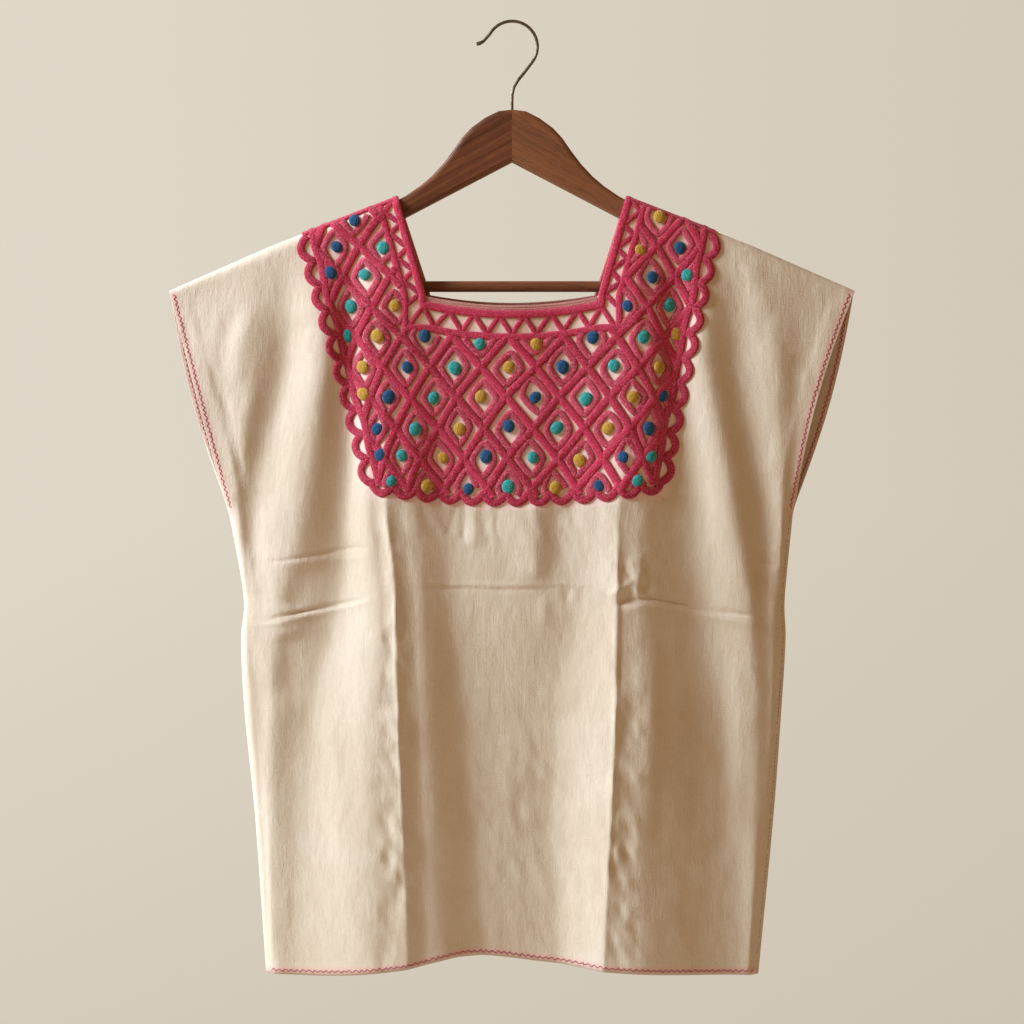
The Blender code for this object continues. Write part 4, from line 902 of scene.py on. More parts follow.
def lattice_paths(face):
    rng = np.random.default_rng(YOKE[face]["seed"])
    spots = {}
    for row in ROWS:
        for column in COLUMNS:
            if (row + column) % 2 == 0:
                x, z = lattice_place(face, column, row)
                spots[column, row] = (x + rng.normal(0, CROSSING_SHIFT), z + rng.normal(0, CROSSING_SHIFT))
    paths = []
    for step in (1, -1):
        for row in ROWS:
            for column in COLUMNS:
                if (column, row) in spots and (column - 1, row - step) not in spots:
                    chain = []
                    while (column + len(chain), row + step * len(chain)) in spots:
                        chain.append(spots[column + len(chain), row + step * len(chain)])
                    if len(chain) > 1:
                        index = np.linspace(0, len(chain) - 1, 30 * (len(chain) - 1) + 1)
                        places = np.arange(len(chain))
                        path = np.stack([through(places, [p[k] for p in chain], index)
                                         for k in (0, 1)], axis=1)
                        paths += inside_runs(face, path, 0.0)[0]
    return paths


def cell_paths(face):
    """Rings round the cells, as closed or clipped paths, and the dots with their shade."""
    rng = np.random.default_rng(YOKE[face]["seed"] + 1)
    closed, clipped, dots = [], [], []
    turn = np.linspace(0, 2 * math.pi, 91)
    circle = (np.cos(turn), np.sin(turn))
    for row in ROWS:
        for column in COLUMNS:
            if (row + column) % 2 == 0:
                continue
            x, z = lattice_place(face, column, row)
            before, after = [lattice_place(face, column + step, row)[0] for step in (-1, 1)]
            power = rng.uniform(1.12, 1.4)
            offset = rng.normal(0, 1.1, 2)
            width = RING["half_width"] * (after - before) / USUAL_COLUMNS * rng.uniform(0.93, 1.05)
            height = RING["half_height"] + rng.normal(0, 0.8)
            wide, tall = [np.sign(part) * np.abs(part) ** (2 / power) for part in circle]
            lean = rng.normal(0, 1.4)
            ring = np.stack([x + offset[0] + width * wide + lean * tall,
                             z + offset[1] + height * tall], axis=1)
            runs, share = inside_runs(face, ring, RING["margin"])
            if share > 0.999:
                closed.append(ring[:-1])
            elif share > RING["least_share"]:
                clipped += runs
            spot = np.array([x, z]) + rng.normal(0, 0.9, 2)
            for _ in range(30):
                space = float(room(face, *spot))
                if space > DOT_ROOM[0]:
                    break
                slope = np.array([float(room(face, spot[0] + 0.5, spot[1])) - space,
                                  float(room(face, spot[0], spot[1] + 0.5)) - space])
                spot = spot + slope / max(np.linalg.norm(slope), 1e-6) * 0.6
            if float(room(face, *spot)) > DOT_ROOM[1] and np.hypot(*(spot - (x, z))) < DOT_WANDER:
                shade = SHADES[(column + row + 3) // 2 % 3]
                dots.append((spot[0], spot[1], DOT_RADIUS * rng.uniform(0.9, 1.08), shade))
    return closed, clipped, dots


def at_shoulder(face, sign, inset=0.0):
    """Distance from the middle where the yoke's side, or a line this far inside it, meets the shoulder."""
    x = float(SHOULDER[0][0])
    while x < half_width(face, sign, shoulder_z(x)) - inset:
        x += 0.25
    return x


def scallop_bases(face):
    """Where the scallops' loops meet, from the left shoulder round to the right one."""
    sizes = YOKE[face]
    low = sizes["low_z"] + sizes["low_rise"]
    bases, feet = [], []
    for sign in (-1, 1):
        x = at_shoulder(face, sign)
        top = np.array([sign * x, float(shoulder_z(x))])
        foot = np.array([sign * float(half_width(face, sign, low)), low])
        foot[1] = float(low_z(face, foot[0]))
        shares = np.linspace(0.02, 1, sizes["side_count"] + 1)
        along = (foot - top) / np.linalg.norm(foot - top)
        inward = np.array([along[1], -along[0]]) * sign
        bases.append([top + (foot - top) * t + inward * 4 * SIDE_SAG * t * (1 - t) for t in shares])
        feet.append(foot[0])
    across = np.linspace(*feet, sizes["low_count"] + 1)[1:-1]
    low_row = [np.array([x, float(low_z(face, x))]) for x in across]
    return bases[0] + low_row + bases[1][::-1]


def scallop_path(face):
    bases = scallop_bases(face)
    start, rise = SCALLOP
    middle = np.array([0.0, YOKE[face]["low_z"] + 90.0])
    path = []
    for a, b in zip(bases, bases[1:]):
        along = (b - a) / np.linalg.norm(b - a)
        outward = np.array([along[1], -along[0]])
        if outward @ ((a + b) / 2 - middle) < 0:
            outward = -outward
        for s in np.linspace(0, 1, 13)[:-1]:
            path.append(a + (b - a) * s + outward * (start + rise * math.sin(math.pi * s) ** 0.75))
    path.append(bases[-1])
    return np.array(path)


def border_paths(face):
    """The cord inside the scallops on each side."""
    paths = []
    for sign in (-1, 1):
        top = float(shoulder_z(at_shoulder(face, sign, BORDER_INSET)))
        z = np.linspace(top - 0.3, YOKE[face]["low_z"] + YOKE[face]["low_rise"] - 2, 60)
        sway = 1.6 * np.sin(z / 9.0) * np.sin(z / 31.0)
        x = sign * (half_width(face, sign, z) - BORDER_INSET + 0.5 + sway)
        paths.append(np.stack([x, z], axis=1))
    return paths


def ridge_paths(face):
    """A cord along each shoulder, over the ends of the others."""
    paths = []
    for sign in (-1, 1):
        x = np.linspace(SHOULDER[0][0] + 1, float(half_width(face, sign, -205.0)) + 6, 40)
        paths.append(np.stack([sign * x, shoulder_z(x) - 1.6], axis=1))
    return paths


def band_path(face, inset, drop=0.0):
    """A line round the neck, this far from its edge, and lower by the drop under the opening."""
    corner = NECK[face]
    low = corner["corner_z"] - inset - drop
    top = float(shoulder_z(SHOULDER[0][0] + inset)) - 0.3
    down = np.linspace(top, low, 30)
    left = np.stack([-(neck_side(face, down) + inset), down], axis=1)
    x = np.linspace(left[-1, 0], -left[-1, 0], 60)[1:-1]
    across = np.stack([x, neck_line_z(face, x) - inset - drop], axis=1)
    return np.concatenate([left, across, left[::-1] * (-1, 1)])


def zigzag_paths(face):
    """Straight cords between the edge cord and the lower cord, under the opening and up both straps."""
    corner = NECK[face]
    rng = np.random.default_rng(YOKE[face]["seed"] + 2)
    half, count = corner["corner_x"] + 14, ZIGZAG_COUNTS[0]
    xs = np.linspace(-half, half, count + 1) + rng.normal(0, 0.6, count + 1)
    drops = (ZIGZAG_FAR + BAND_DROP, ZIGZAG_NEAR + EDGE_DROP)
    rows = [[(x, float(neck_line_z(face, x)) - drops[k % 2]) for k, x in enumerate(xs)]]
    count = ZIGZAG_COUNTS[1]
    insets = (STRAP_FAR, ZIGZAG_NEAR)
    for sign in (-1, 1):
        zs = np.linspace(corner["corner_z"] - 8, SHOULDER[0][1] - 4, count + 1)
        zs += rng.normal(0, 0.5, count + 1)
        rows.append([(sign * (float(neck_side(face, z)) + insets[k % 2]), z) for k, z in enumerate(zs)])
    fine = []
    for corners in rows:
        corners = np.array(corners)
        for a, b in zip(corners, corners[1:]):
            fine.append(np.array([a + (b - a) * t for t in np.linspace(0, 1, 8)]))
    return fine


# %% Cord tree
def new_tree(name, inputs):
    tree = bpy.data.node_groups.new(name, "GeometryNodeTree")
    tree.interface.new_socket("Geometry", in_out="INPUT", socket_type="NodeSocketGeometry")
    for label, kind, default in inputs:
        socket = tree.interface.new_socket(label, in_out="INPUT", socket_type=kind)
        if default is not None:
            socket.default_value = default
    tree.interface.new_socket("Geometry", in_out="OUTPUT", socket_type="NodeSocketGeometry")
    return tree, tree.nodes.new("NodeGroupInput"), tree.nodes.new("NodeGroupOutput")


def read_attribute(tree, name, kind="FLOAT"):
    return add(tree, "GeometryNodeInputNamedAttribute", {"data_type": kind}, Name=name).outputs[0]


def store(tree, geometry, name, value):
    """The geometry with a number at each point, under a name that the materials read."""
    return add(tree, "GeometryNodeStoreNamedAttribute", {"data_type": "FLOAT", "domain": "POINT"},
               Geometry=geometry, Name=name, Value=value).outputs[0]


def end_tree(tree, geometry, given, result):
    """The end of a tree: smooth shading, real faces and the piece's material."""
    smooth = add(tree, "GeometryNodeSetShadeSmooth", Geometry=geometry).outputs[0]
    whole = add(tree, "GeometryNodeRealizeInstances", Geometry=smooth).outputs[0]
    finished = add(tree, "GeometryNodeSetMaterial", Geometry=whole,
                   Material=given.outputs["Material"]).outputs[0]
    tree.links.new(finished, result.inputs[0])


def make_cord_tree():
    tree, given, result = new_tree("laid_cord", [
        ("Step", "NodeSocketFloat", 0.0022),
        ("Sides", "NodeSocketInt", 10),
        ("Flatness", "NodeSocketFloat", 0.38),
        ("Rise", "NodeSocketFloat", 0.18),
        ("Material", "NodeSocketMaterial", None),
    ])
    line = add(tree, "GeometryNodeMeshToCurve", Mesh=given.outputs["Geometry"]).outputs[0]
    line = add(tree, "GeometryNodeResampleCurve", {"mode": "LENGTH"}, Curve=line,
               Length=given.outputs["Step"]).outputs[0]
    line = add(tree, "GeometryNodeSetCurveNormal", {"mode": "FREE"}, Curve=line,
               Normal=read_attribute(tree, "out", "FLOAT_VECTOR")).outputs[0]
    length = tree.nodes.new("GeometryNodeSplineParameter").outputs["Length"]
    line = store(tree, line, "along", length)
    ring = add(tree, "GeometryNodeCurvePrimitiveCircle", Resolution=given.outputs["Sides"],
               Radius=1.0).outputs[0]
    size = add(tree, "ShaderNodeCombineXYZ", X=given.outputs["Flatness"], Y=1.0, Z=1.0).outputs[0]
    rise = add(tree, "ShaderNodeCombineXYZ", X=given.outputs["Rise"]).outputs[0]
    ring = add(tree, "GeometryNodeTransform", Geometry=ring, Scale=size, Translation=rise).outputs[0]
    ring = store(tree, ring, "around", tree.nodes.new("GeometryNodeSplineParameter").outputs["Factor"])
    swept = add(tree, "GeometryNodeCurveToMesh", Curve=line, Profile_Curve=ring, Fill_Caps=True,
                Scale=read_attribute(tree, "half_width")).outputs[0]
    end_tree(tree, swept, given, result)
    return tree


def grow(obj, tree, **values):
    """The object made by a Geometry Nodes tree on it, as a plain mesh in its place."""
    modifier = obj.modifiers.new(tree.name, "NODES")
    modifier.node_group = tree
    for item in tree.interface.items_tree:
        key = item.name.replace(" ", "_")
        if item.in_out == "INPUT" and key in values:
            modifier[item.identifier] = values[key]
    seen = obj.evaluated_get(bpy.context.evaluated_depsgraph_get())
    mesh = bpy.data.meshes.new_from_object(seen)
    name, old = obj.name, obj.data
    obj.modifiers.remove(modifier)
    obj.data = mesh
    bpy.data.meshes.remove(old)
    mesh.name = name
    print(name, "faces:", len(mesh.polygons))
    return obj


def path_mesh(name, face, paths, inside=False):
    """A mesh of edges along the paths. A path is (places, half width, shade, closed)."""
    places = np.concatenate([path[0] for path in paths])
    points, normals = surface(face, places[:, 0], places[:, 1], -CLOTH_THICK if inside else 0.0)
    if inside:
        points[:, 1] = OUTWARD[face] * np.maximum(OUTWARD[face] * points[:, 1], SEAM_HALF + 0.3)
        normals = -normals
    widths, shades, edges = [], [], []
    for places, width, shade, closed in paths:
        start, count = len(widths), len(places)
        widths += [width * MM] * count
        shades += [shade] * count
        edges += [(start + k, start + k + 1) for k in range(count - 1)]
        if closed:
            edges.append((start + count - 1, start))
    mesh = bpy.data.meshes.new(name)
    mesh.from_pydata((points * MM).tolist(), edges, [])
    for label, values in (("out", normals), ("half_width", widths), ("shade", shades)):
        give_values(mesh, label, values)
    return make_object(name, mesh)


CORD_TREE = make_cord_tree()


# %% Thread materials
def make_thread_group():
    """Height and streaks of threads laid across a cord. The streaks also set where a cord is painted in
    shade.
    """
    group, given, result = new_group(
        "laid_thread",
        [("Along", "NodeSocketFloat", 0.0), ("Around", "NodeSocketFloat", 0.0),
         ("Threads per metre", "NodeSocketFloat", 900.0)],
        [("Height", "NodeSocketFloat"), ("Streaks", "NodeSocketFloat"), ("Fuzz", "NodeSocketFloat")],
    )
    place = add(group, "ShaderNodeTexCoord").outputs["Object"]
    slant = math_node(group, "MULTIPLY_ADD", given.outputs["Around"], 0.0022, given.outputs["Along"])
    lay = math_node(group, "MULTIPLY", slant, given.outputs["Threads per metre"])
    across = math_node(group, "MULTIPLY", given.outputs["Around"], 5.0)
    pattern = add(group, "ShaderNodeCombineXYZ", X=lay, Y=across).outputs[0]
    streaks = noise(group, pattern, 1.0, 2.0)
    fuzz = noise(group, place, 850.0, 3.0, 0.7)
    height = math_node(group, "MULTIPLY_ADD", fuzz, 0.6, streaks)
    put_out(group, result, Height=height, Streaks=streaks, Fuzz=fuzz)
    return group


LAID_THREAD = make_thread_group()


def make_thread(name, dark, light, painted_glow):
    material, tree, shader = new_material(name)
    along, around, shade = [read_mask(tree, label) for label in ("along", "around", "shade")]
    laid = add(tree, "ShaderNodeGroup", {"node_tree": LAID_THREAD}, Along=along, Around=around)
    # Each cord runs from its colour in the shade to its colour in the light: painted shade and painted
    # light. The share is a random number for the whole cord plus the threads' streaks, which also raise the
    # bump, so the low threads are painted in shade.
    lit_share = math_node(tree, "MULTIPLY_ADD", shade, 0.5, math_node(
        tree, "MULTIPLY", laid.outputs["Streaks"], 0.6))
    colour = mix_colour(tree, ranged(tree, lit_share, 0.2, 0.85), dark, light)
    # The fuzz, also raised in the bump, turns paler: partly the loose fibres' own colour, partly a painted
    # highlight.
    colour = mix_colour(tree, ranged(tree, laid.outputs["Fuzz"], 0.46, 0.62, 0.0, 0.8), colour, painted_glow)
    tree.links.new(colour, shader.inputs["Base Color"])
    set_inputs(shader, Roughness=0.9, Sheen_Weight=0.5, Sheen_Roughness=0.45,
               Sheen_Tint=(1.0, 0.75, 0.8, 1.0), Specular_IOR_Level=0.25)
    bump = add(tree, "ShaderNodeBump", Height=laid.outputs["Height"], Strength=1.0, Distance=0.0011)
    tree.links.new(bump.outputs[0], shader.inputs["Normal"])
    return material


# Each thread has a copy of its colour in the shade and one in the light, which are painted shade and
# painted light. It also has a paler colour for the loose fibres, partly their own and partly a painted
# highlight.
THREAD_COLOURS = {      # in the shade, in the light, and on the loose fibres
    "rose": ((160, 14, 46), (206, 38, 78), (236, 104, 134)),
    "pale_rose": ((172, 30, 62), (214, 66, 98), (238, 136, 154)),
    "blue": ((8, 34, 76), (16, 82, 130), (50, 120, 165)),
    "teal": ((8, 108, 112), (34, 168, 166), (90, 200, 195)),
    "yellow": ((146, 100, 20), (208, 162, 48), (228, 194, 96)),
    "stitch_rose": ((158, 44, 70), (200, 84, 106), (222, 132, 142)),
    # The seam's stitches are painted in the brown of shaded cloth: painted shade.
    "seam_brown": ((120, 84, 56), (150, 108, 74), (172, 132, 96)),
    # The facing's pale rose is partly the thread's own colour and partly painted light shining through the
    # cloth.
    "facing_rose": ((190, 104, 104), (222, 150, 142), (232, 176, 166)),
}
THREADS = {name: make_thread(name + "_thread", *(linear(*colour) for colour in colours))
           for name, colours in THREAD_COLOURS.items()}
print("threads:", list(THREADS))


# %% Cords of both yokes
def shaded(paths, kind, closed=False, seed=0):
    rng = np.random.default_rng(seed)
    return [(np.asarray(p), CORD_HALF[kind], rng.uniform(0, 1), closed) for p in paths]


def dress_piece(obj, node):
    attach(obj, "root")
    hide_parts(node)


def make_yoke(face):
    closed, clipped, dots = cell_paths(face)
    net = shaded(lattice_paths(face), "lattice", seed=1) + shaded(border_paths(face), "lattice", seed=2)
    net += shaded([scallop_path(face)], "scallop", seed=3) + shaded(ridge_paths(face), "lower", seed=9)
    band = shaded([band_path(face, EDGE_CORD, EDGE_DROP)], "edge", seed=4)
    band += shaded([band_path(face, LOWER_CORD, BAND_DROP)], "lower", seed=5)
    band += shaded(zigzag_paths(face), "zigzag", seed=6)
    rings = shaded(closed, "ring", True, seed=7) + shaded(clipped, "ring", False, seed=8)
    for name, paths, thread in (("lattice", net, "rose"), ("neck_band", band, "rose"),
                                ("rings", rings, "pale_rose")):
        obj = path_mesh(face + "_" + name, face, paths)
        grow(obj, CORD_TREE, Step=0.0022, Sides=10, Material=THREADS[thread])
        dress_piece(obj, face + "_yoke")
    return dots


DOTS = {face: make_yoke(face) for face in FACES}
print("dots:", {face: len(rows) for face, rows in DOTS.items()})

# %% [markdown]
# ## Zigzag hems and seams
# A machine zigzag in rose thread holds the turned hem and cuffs, and its back shows inside the
# cuffs. The neck's raw edge is bound with a ribbed band of paler thread, which shows as a narrow
# strip above the front's edge cord; its pale pink is partly the thread's own and partly painted light
# that shines through the cloth. Stitches show at the side seam on the shaded right side, painted
# in the brown of shaded cloth: painted shade.
# %% Stitches
STITCHES = {            # wave length, swing to each side, thread's half width
    "hem": (5.2, 1.2, 0.46),
    "cuff": (4.8, 1.15, 0.48),
}
SEAM_DASH = {"apart": 3.4, "length": 1.9, "half": 0.26, "inset": 3.2, "share": 0.8}
FACING_CORDS = (1.7, ((1.9, 0.8), (4.9, 0.3)))      # half width, then inset and shade of each
BINDING_CORDS = (1.5, ((1.4, 0.9), (3.6, 0.5)))
THREAD_STEP, THREAD_SIDES = 0.0009, 6


def zigzag_along(line, kind, seed):
    """The corners of a zigzag seam along a line of places."""
    wave, swing, half = STITCHES[kind]
    rng = np.random.default_rng(seed)
    steps = np.concatenate([[0], np.cumsum(np.hypot(*np.diff(line, axis=0).T))])
    count = round(steps[-1] / wave * 2)
    at = np.linspace(0, steps[-1], count + 1) + rng.normal(0, 0.08 * wave, count + 1)
    place = np.stack([np.interp(at, steps, line[:, k]) for k in (0, 1)], axis=1)
    along = np.gradient(place, axis=0)
    along /= np.linalg.norm(along, axis=1, keepdims=True)
    swing_now = np.where(np.arange(count + 1) % 2, 1, -1) * swing * rng.uniform(0.7, 1.15, count + 1)
    side = np.stack([-along[:, 1], along[:, 0]], axis=1)
    return (place + side * swing_now[:, None], half, rng.uniform(0.2, 0.8), False)


def hem_line(face):
    x = np.linspace(HEM[face][0][0] + 5, HEM[face][-1][0] - 5, 120)
    z = hem_z(face, x) + STITCH_INSET
    return np.stack([x, z], axis=1)


def cuff_line(face, side):
    z = np.linspace(SHOULDER[-1][1] - 3.5, UNDERARM_Z + 3.5, 60)
    inward = 1 if side == 1 else -1
    return np.stack([edge_x(face, z, side) + inward * STITCH_INSET, z], axis=1)


def seam_dashes(face, side):
    """Short stitches along a side seam, missing here and there."""
    rng = np.random.default_rng(30 + side)
    inward = SEAM_DASH["inset"] * (1 if side == 1 else -1)
    dashes = []
    for z in np.arange(UNDERARM_Z - 4, HEM_LEVEL + 12, -SEAM_DASH["apart"]):
        if rng.uniform() < SEAM_DASH["share"]:
            ends = z + rng.uniform(-0.3, 0.3) + np.linspace(0, -SEAM_DASH["length"], 4)
            dashes.append((np.stack([edge_x(face, ends, side) + inward, ends], axis=1), SEAM_DASH["half"],
                           rng.uniform(0.1, 0.9), False))
    return dashes


def make_stitches(face):
    rows = [zigzag_along(cuff_line(face, side), "cuff", 20 + side) for side in (1, 2)]
    hem = [zigzag_along(hem_line(face), "hem", 24)]
    half, cords = FACING_CORDS
    facing = [(band_path(face, inset)[3:-3], half, shade, False) for inset, shade in cords]
    half, cords = BINDING_CORDS
    middle = np.linspace(-1, 1, 90) * (NECK[face]["corner_x"] - 1.0)
    binding = [(np.stack([middle, neck_line_z(face, middle) - inset], axis=1), half, shade, False)
               for inset, shade in cords]
    # The seam's stitches take the brown of shaded cloth, which is painted shade. The facing and the binding
    # take a pale rose, partly painted light shining through the cloth.
    for name, paths, thread, inside in (
            ("zigzag_stitches", rows + hem, "stitch_rose", False),
            ("cuff_stitches_inside", rows, "stitch_rose", True),
            ("neck_facing", facing, "facing_rose", True),
            ("neck_binding", binding, "facing_rose", False),
            ("seam_stitches", seam_dashes(face, 2), "seam_brown", False)):
        obj = path_mesh(face + "_" + name, face, paths, inside)
        grow(obj, CORD_TREE, Step=THREAD_STEP, Sides=THREAD_SIDES, Material=THREADS[thread])
        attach(obj, "root")
        SHEET_PIECES[face].append(obj)


SHEET_PIECES = {"front": [], "back": []}
for face in FACES:
    make_stitches(face)

# %% [markdown]
# ## Satin dots
# Each diamond holds a dot of satin stitch, a little cushion of parallel threads. It is one small
# dome, which Geometry Nodes place at each point with its own size and turn, upright on the cloth.
# %% Dots
def make_dot_tree():
    tree, given, result = new_tree("satin_dots", [
        ("Radius", "NodeSocketFloat", 0.0054),
        ("Height", "NodeSocketFloat", 0.0021),
        ("Seed", "NodeSocketInt", 3),
        ("Material", "NodeSocketMaterial", None),
    ])
    ball = add(tree, "GeometryNodeMeshUVSphere", Segments=14, Rings=9, Radius=1.0).outputs[0]
    spot = tree.nodes.new("GeometryNodeInputPosition").outputs[0]
    split = add(tree, "ShaderNodeSeparateXYZ", Vector=spot)
    ball = store(tree, ball, "along", math_node(tree, "MULTIPLY", split.outputs["X"], DOT_RADIUS * MM))
    ball = store(tree, ball, "around", math_node(tree, "MULTIPLY", split.outputs["Y"], 0.2))
    long = math_node(tree, "MULTIPLY", given.outputs["Radius"], 1.13)
    size = add(tree, "ShaderNodeCombineXYZ", X=given.outputs["Radius"], Y=long,
               Z=given.outputs["Height"]).outputs[0]
    ball = add(tree, "GeometryNodeTransform", Geometry=ball, Scale=size).outputs[0]
    upright = add(tree, "FunctionNodeAlignRotationToVector", {"axis": "Z"},
                  Vector=read_attribute(tree, "out", "FLOAT_VECTOR")).outputs[0]
    turn = add(tree, "FunctionNodeRandomValue", {"data_type": "FLOAT"}, i2=-0.9, i3=0.9,
               Seed=given.outputs["Seed"]).outputs[1]
    around = add(tree, "FunctionNodeAxisAngleToRotation", Axis=(0, 0, 1), Angle=turn).outputs[0]
    spin = add(tree, "FunctionNodeRotateRotation", {"rotation_space": "LOCAL"}, i0=upright, i1=around)
    placed = add(tree, "GeometryNodeInstanceOnPoints", Points=given.outputs["Geometry"], Instance=ball,
                 Rotation=spin.outputs[0], Scale=read_attribute(tree, "size")).outputs[0]
    end_tree(tree, placed, given, result)
    return tree


def make_dots(face, shade, tree):
    rows = [d for d in DOTS[face] if d[3] == shade]
    spots, out = surface(face, np.array([d[0] for d in rows]), np.array([d[1] for d in rows]), DOT_LIFT)
    mesh = bpy.data.meshes.new(face + "_dots_" + shade)
    mesh.from_pydata((spots * MM).tolist(), [], [])
    sizes = [d[2] / DOT_RADIUS for d in rows]
    for label, values in (("out", out), ("size", sizes), ("shade", [0.5] * len(rows))):
        give_values(mesh, label, values)
    obj = make_object(mesh.name, mesh)
    grow(obj, tree, Radius=DOT_SHARE * DOT_RADIUS * MM, Seed=5, Material=THREADS[shade])
    dress_piece(obj, face + "_yoke")


DOT_LIFT = 1.0          # of a dot's middle above the cloth, so that most of its lower half stays inside
DOT_SHARE = 0.94        # of the radius that the layout keeps free
DOT_TREE = make_dot_tree()
for face in FACES:
    for shade in SHADES:
        make_dots(face, shade, DOT_TREE)

# %% [markdown]
# ## Hanger
# The hanger keeps its CAD solids. Walnut shows long dark and light streaks along the grain, and
# each arm was cut from its own board, so the grain slopes with the arm and meets in a line at
# the middle. The grain is noise stretched along X, turned by the arm's slope on either side, and
# the bar's grain runs straight.
# %% Wood grain
def make_grain_group():
    group, given, result = new_group(
        "arm_grain",
        [("Slope", "NodeSocketFloat", 0.55)],
        [("Streaks", "NodeSocketFloat"), ("Pores", "NodeSocketFloat"), ("Side", "NodeSocketFloat")],
    )
    place = add(group, "ShaderNodeTexCoord").outputs["Object"]
    split = add(group, "ShaderNodeSeparateXYZ", Vector=place)
    across = math_node(group, "ABSOLUTE", split.outputs["X"])
    falling = math_node(group, "MULTIPLY_ADD", across, given.outputs["Slope"], split.outputs["Z"])
    side = math_node(group, "GREATER_THAN", split.outputs["X"], 0.0)
    shifted = math_node(group, "MULTIPLY_ADD", side, 0.37, falling)
    board = add(group, "ShaderNodeCombineXYZ", X=across, Y=split.outputs["Y"], Z=shifted).outputs[0]
    warped = add(group, "ShaderNodeTexNoise", Vector=board, Scale=14.0, Detail=2.0).outputs["Color"]
    bent = add(group, "ShaderNodeVectorMath", {"operation": "MULTIPLY_ADD"},
               i0=warped, i1=(0, 0, 0.008), i2=board).outputs[0]
    streaks = noise(group, stretched(group, bent, (6, 60, 150)), 1.0, 4.0, 0.6)
    pores = noise(group, stretched(group, bent, (90, 900, 1900)), 1.0, 2.0, 0.5)
    put_out(group, result, Streaks=streaks, Pores=pores, Side=side)
    return group


GRAIN = make_grain_group()


def make_wood(name, slope, side_share, paler_share):
    material, tree, shader = new_material(name)
    grain = add(tree, "ShaderNodeGroup", {"node_tree": GRAIN}, Slope=slope)
    streaks = ranged(tree, grain.outputs["Streaks"], 0.3, 0.7)
    colour = mix_colour(tree, streaks, linear(78, 38, 22), linear(136, 80, 48))
    paler = math_node(tree, "MULTIPLY_ADD", grain.outputs["Side"], side_share, paler_share)
    colour = mix_colour(tree, paler, colour, linear(176, 118, 80))
    pores = ranged(tree, grain.outputs["Pores"], 0.5, 0.68, 0.0, 0.55)
    colour = mix_colour(tree, pores, colour, linear(58, 28, 17))
    tree.links.new(colour, shader.inputs["Base Color"])
    rough = ranged(tree, grain.outputs["Pores"], 0.3, 0.7, 0.36, 0.52)
    tree.links.new(rough, shader.inputs["Roughness"])
    bump = add(tree, "ShaderNodeBump", Height=grain.outputs["Pores"], Strength=0.12, Distance=0.0002)
    tree.links.new(bump.outputs[0], shader.inputs["Normal"])
    return material


def make_wire(name):
    material, tree, shader = new_material(name)
    place = add(tree, "ShaderNodeTexCoord").outputs["Object"]
    stains = noise(tree, place, 260.0, 3.0)
    colour = mix_colour(tree, stains, linear(96, 88, 78), linear(138, 128, 114))
    tree.links.new(colour, shader.inputs["Base Color"])
    tree.links.new(ranged(tree, stains, 0.3, 0.7, 0.3, 0.48), shader.inputs["Roughness"])
    set_inputs(shader, Metallic=0.9)
    return material


WALNUT = make_wood("varnished_walnut", 0.55, 0.4, 0.0)
WALNUT_BAR = make_wood("walnut_bar", 0.0, 0.0, 0.2)
WIRE = make_wire("dull_wire")


def dress_node(name, material):
    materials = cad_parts[name].data.materials
    for k in range(len(materials)):
        materials[k] = material
    print(name, "gets", material.name)


dress_node("hanger_arms", WALNUT)
dress_node("hanger_bar", WALNUT_BAR)
dress_node("hanger_hook", WIRE)

# %% [markdown]
# ## Light, floor and camera
# The photograph was lit by a soft window far out at the left. An area light stands there, a
# second one behind the blouse serves the views of its back, and a warm world fills the shades. The
# camera looks straight on from well back, so that the sleeves aren't drawn larger than the yoke.
# %% Studio
AMBIENT = (0.30, 0.165, 0.07, 1.0)      # the world's light on the blouse, warm from walls and floor
FLOOR = (1.7, 0.2, -1.3, 0.02)          # radius, y of its middle, top's z and thickness, in metres


def make_world():
    world = bpy.data.worlds.new("pale_studio")
    world.use_nodes = True
    tree = world.node_tree
    # The backdrop that the camera sees is painted light: lighter at the left, where the window is, and
    # darker to the right. It is also darker towards the bottom.
    way = add(tree, "ShaderNodeTexCoord").outputs["Generated"]
    split = add(tree, "ShaderNodeSeparateXYZ", Vector=way)
    across = ranged(tree, split.outputs["X"], -0.2, 0.2)
    colour = mix_colour(tree, across, linear(224, 216, 202), linear(211, 201, 184))
    colour = mix_colour(tree, ranged(tree, split.outputs["Z"], 0.0, -0.2, 0.0, 0.5), colour,
                        linear(200, 189, 171))
    seen = add(tree, "ShaderNodeLightPath").outputs["Is Camera Ray"]
    tree.links.new(mix_colour(tree, seen, AMBIENT, colour), tree.nodes["Background"].inputs["Color"])
    bpy.context.scene.world = world


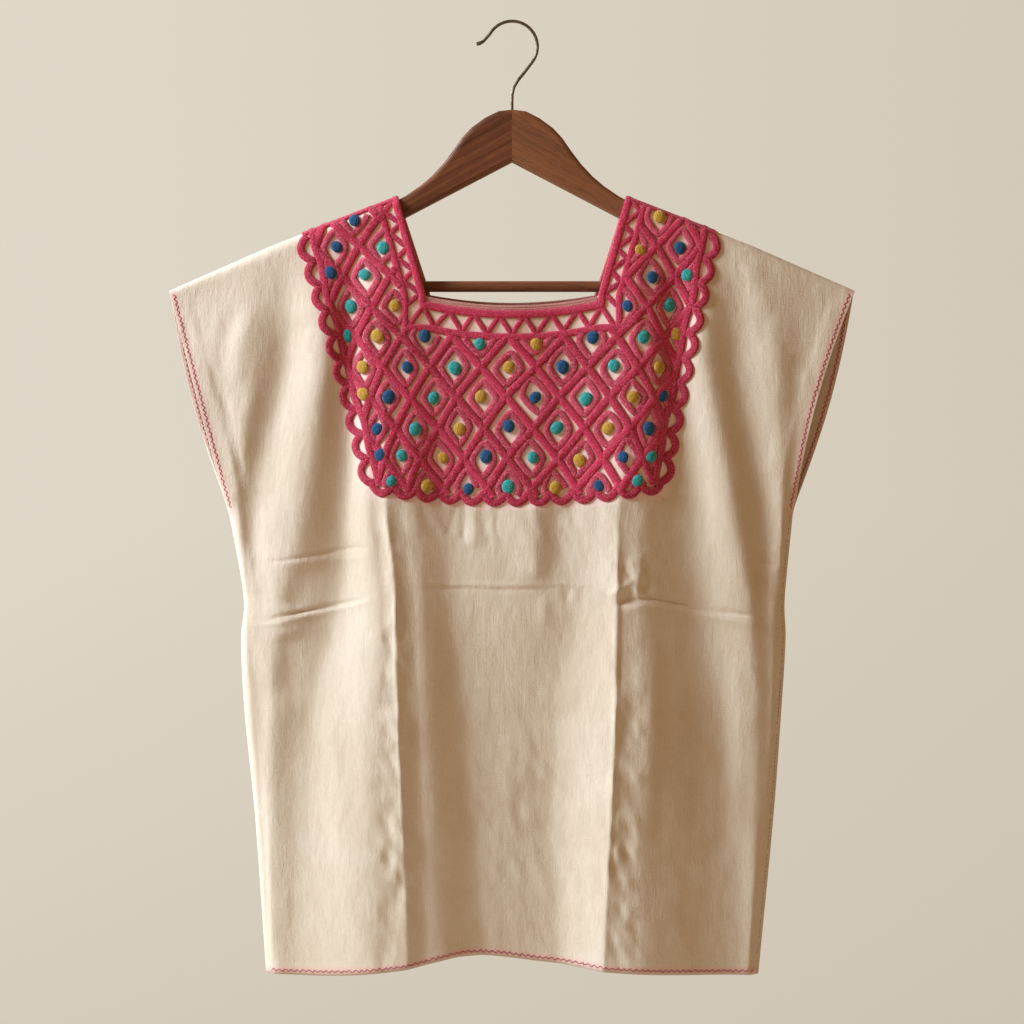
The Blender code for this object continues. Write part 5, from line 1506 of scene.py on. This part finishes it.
def make_light(name, place, target, size, power, colour):
    data = bpy.data.lights.new(name, "AREA")
    data.shape = "RECTANGLE"
    data.size, data.size_y = size
    data.energy = power
    data.color = colour
    obj = make_object(name, data)
    obj.location = place
    obj.rotation_euler = (Vector(target) - Vector(place)).to_track_quat("-Z", "Y").to_euler()


def make_floor():
    radius, middle_y, top_z, thick = FLOOR
    turns = np.linspace(0, 2 * math.pi, 97)[:-1]
    ring = [(radius * math.cos(a), radius * math.sin(a) + middle_y, top_z) for a in turns]
    lower = [(x, y, z - thick) for x, y, z in ring]
    count = len(ring)
    faces = [tuple(range(count)), tuple(range(2 * count - 1, count - 1, -1))]
    faces += [(k, k + count, (k + 1) % count + count, (k + 1) % count) for k in range(count)]
    floor = make_mesh("floor", np.array(ring + lower) / MM, faces, smooth=False)
    material, tree, shader = new_material("pale_floor")
    place = add(tree, "ShaderNodeTexCoord").outputs["Object"]
    soft = mix_colour(tree, noise(tree, place, 3.0), linear(196, 188, 172), linear(204, 197, 183))
    tree.links.new(soft, shader.inputs["Base Color"])
    set_inputs(shader, Roughness=0.9)
    floor.data.materials.append(material)


def make_camera():
    data = bpy.data.cameras.new("camera")
    data.lens = 96.0
    data.sensor_width = 36.0
    obj = make_object("camera", data)
    obj.location = (0.0, -2.4, -0.43)
    obj.rotation_euler = (math.pi / 2, 0, 0)
    bpy.context.scene.camera = obj


bpy.context.scene.view_settings.view_transform = "Standard"
make_world()
make_light("window", (-2.3, -0.72, 0.95), (0, 0, -0.45), (0.8, 1.2), 128, (0.78, 0.89, 1.0))
make_light("back_fill", (-2.2, 1.5, 0.8), (0, 0, -0.45), (0.9, 1.2), 60, (0.9, 0.93, 0.95))
make_floor()
make_camera()

# %% [markdown]
# ## The panels' cut
# Each panel is a sheet that was cut flat before it was sewn. Its cut is taken as a rectangle of a
# given width across the cuffs and length from the neck point to the hem, and the area of the
# panel's own net is printed as a share of it.
# %% Sheets, sizes and the end
for side, (panel, panel_area) in SHEETS.items():
    width, length = 0.64, 0.69
    share = min(1.0, panel_area / (width * length))
    print(panel.name, "covers", round(share, 3), "of its cut rectangle")
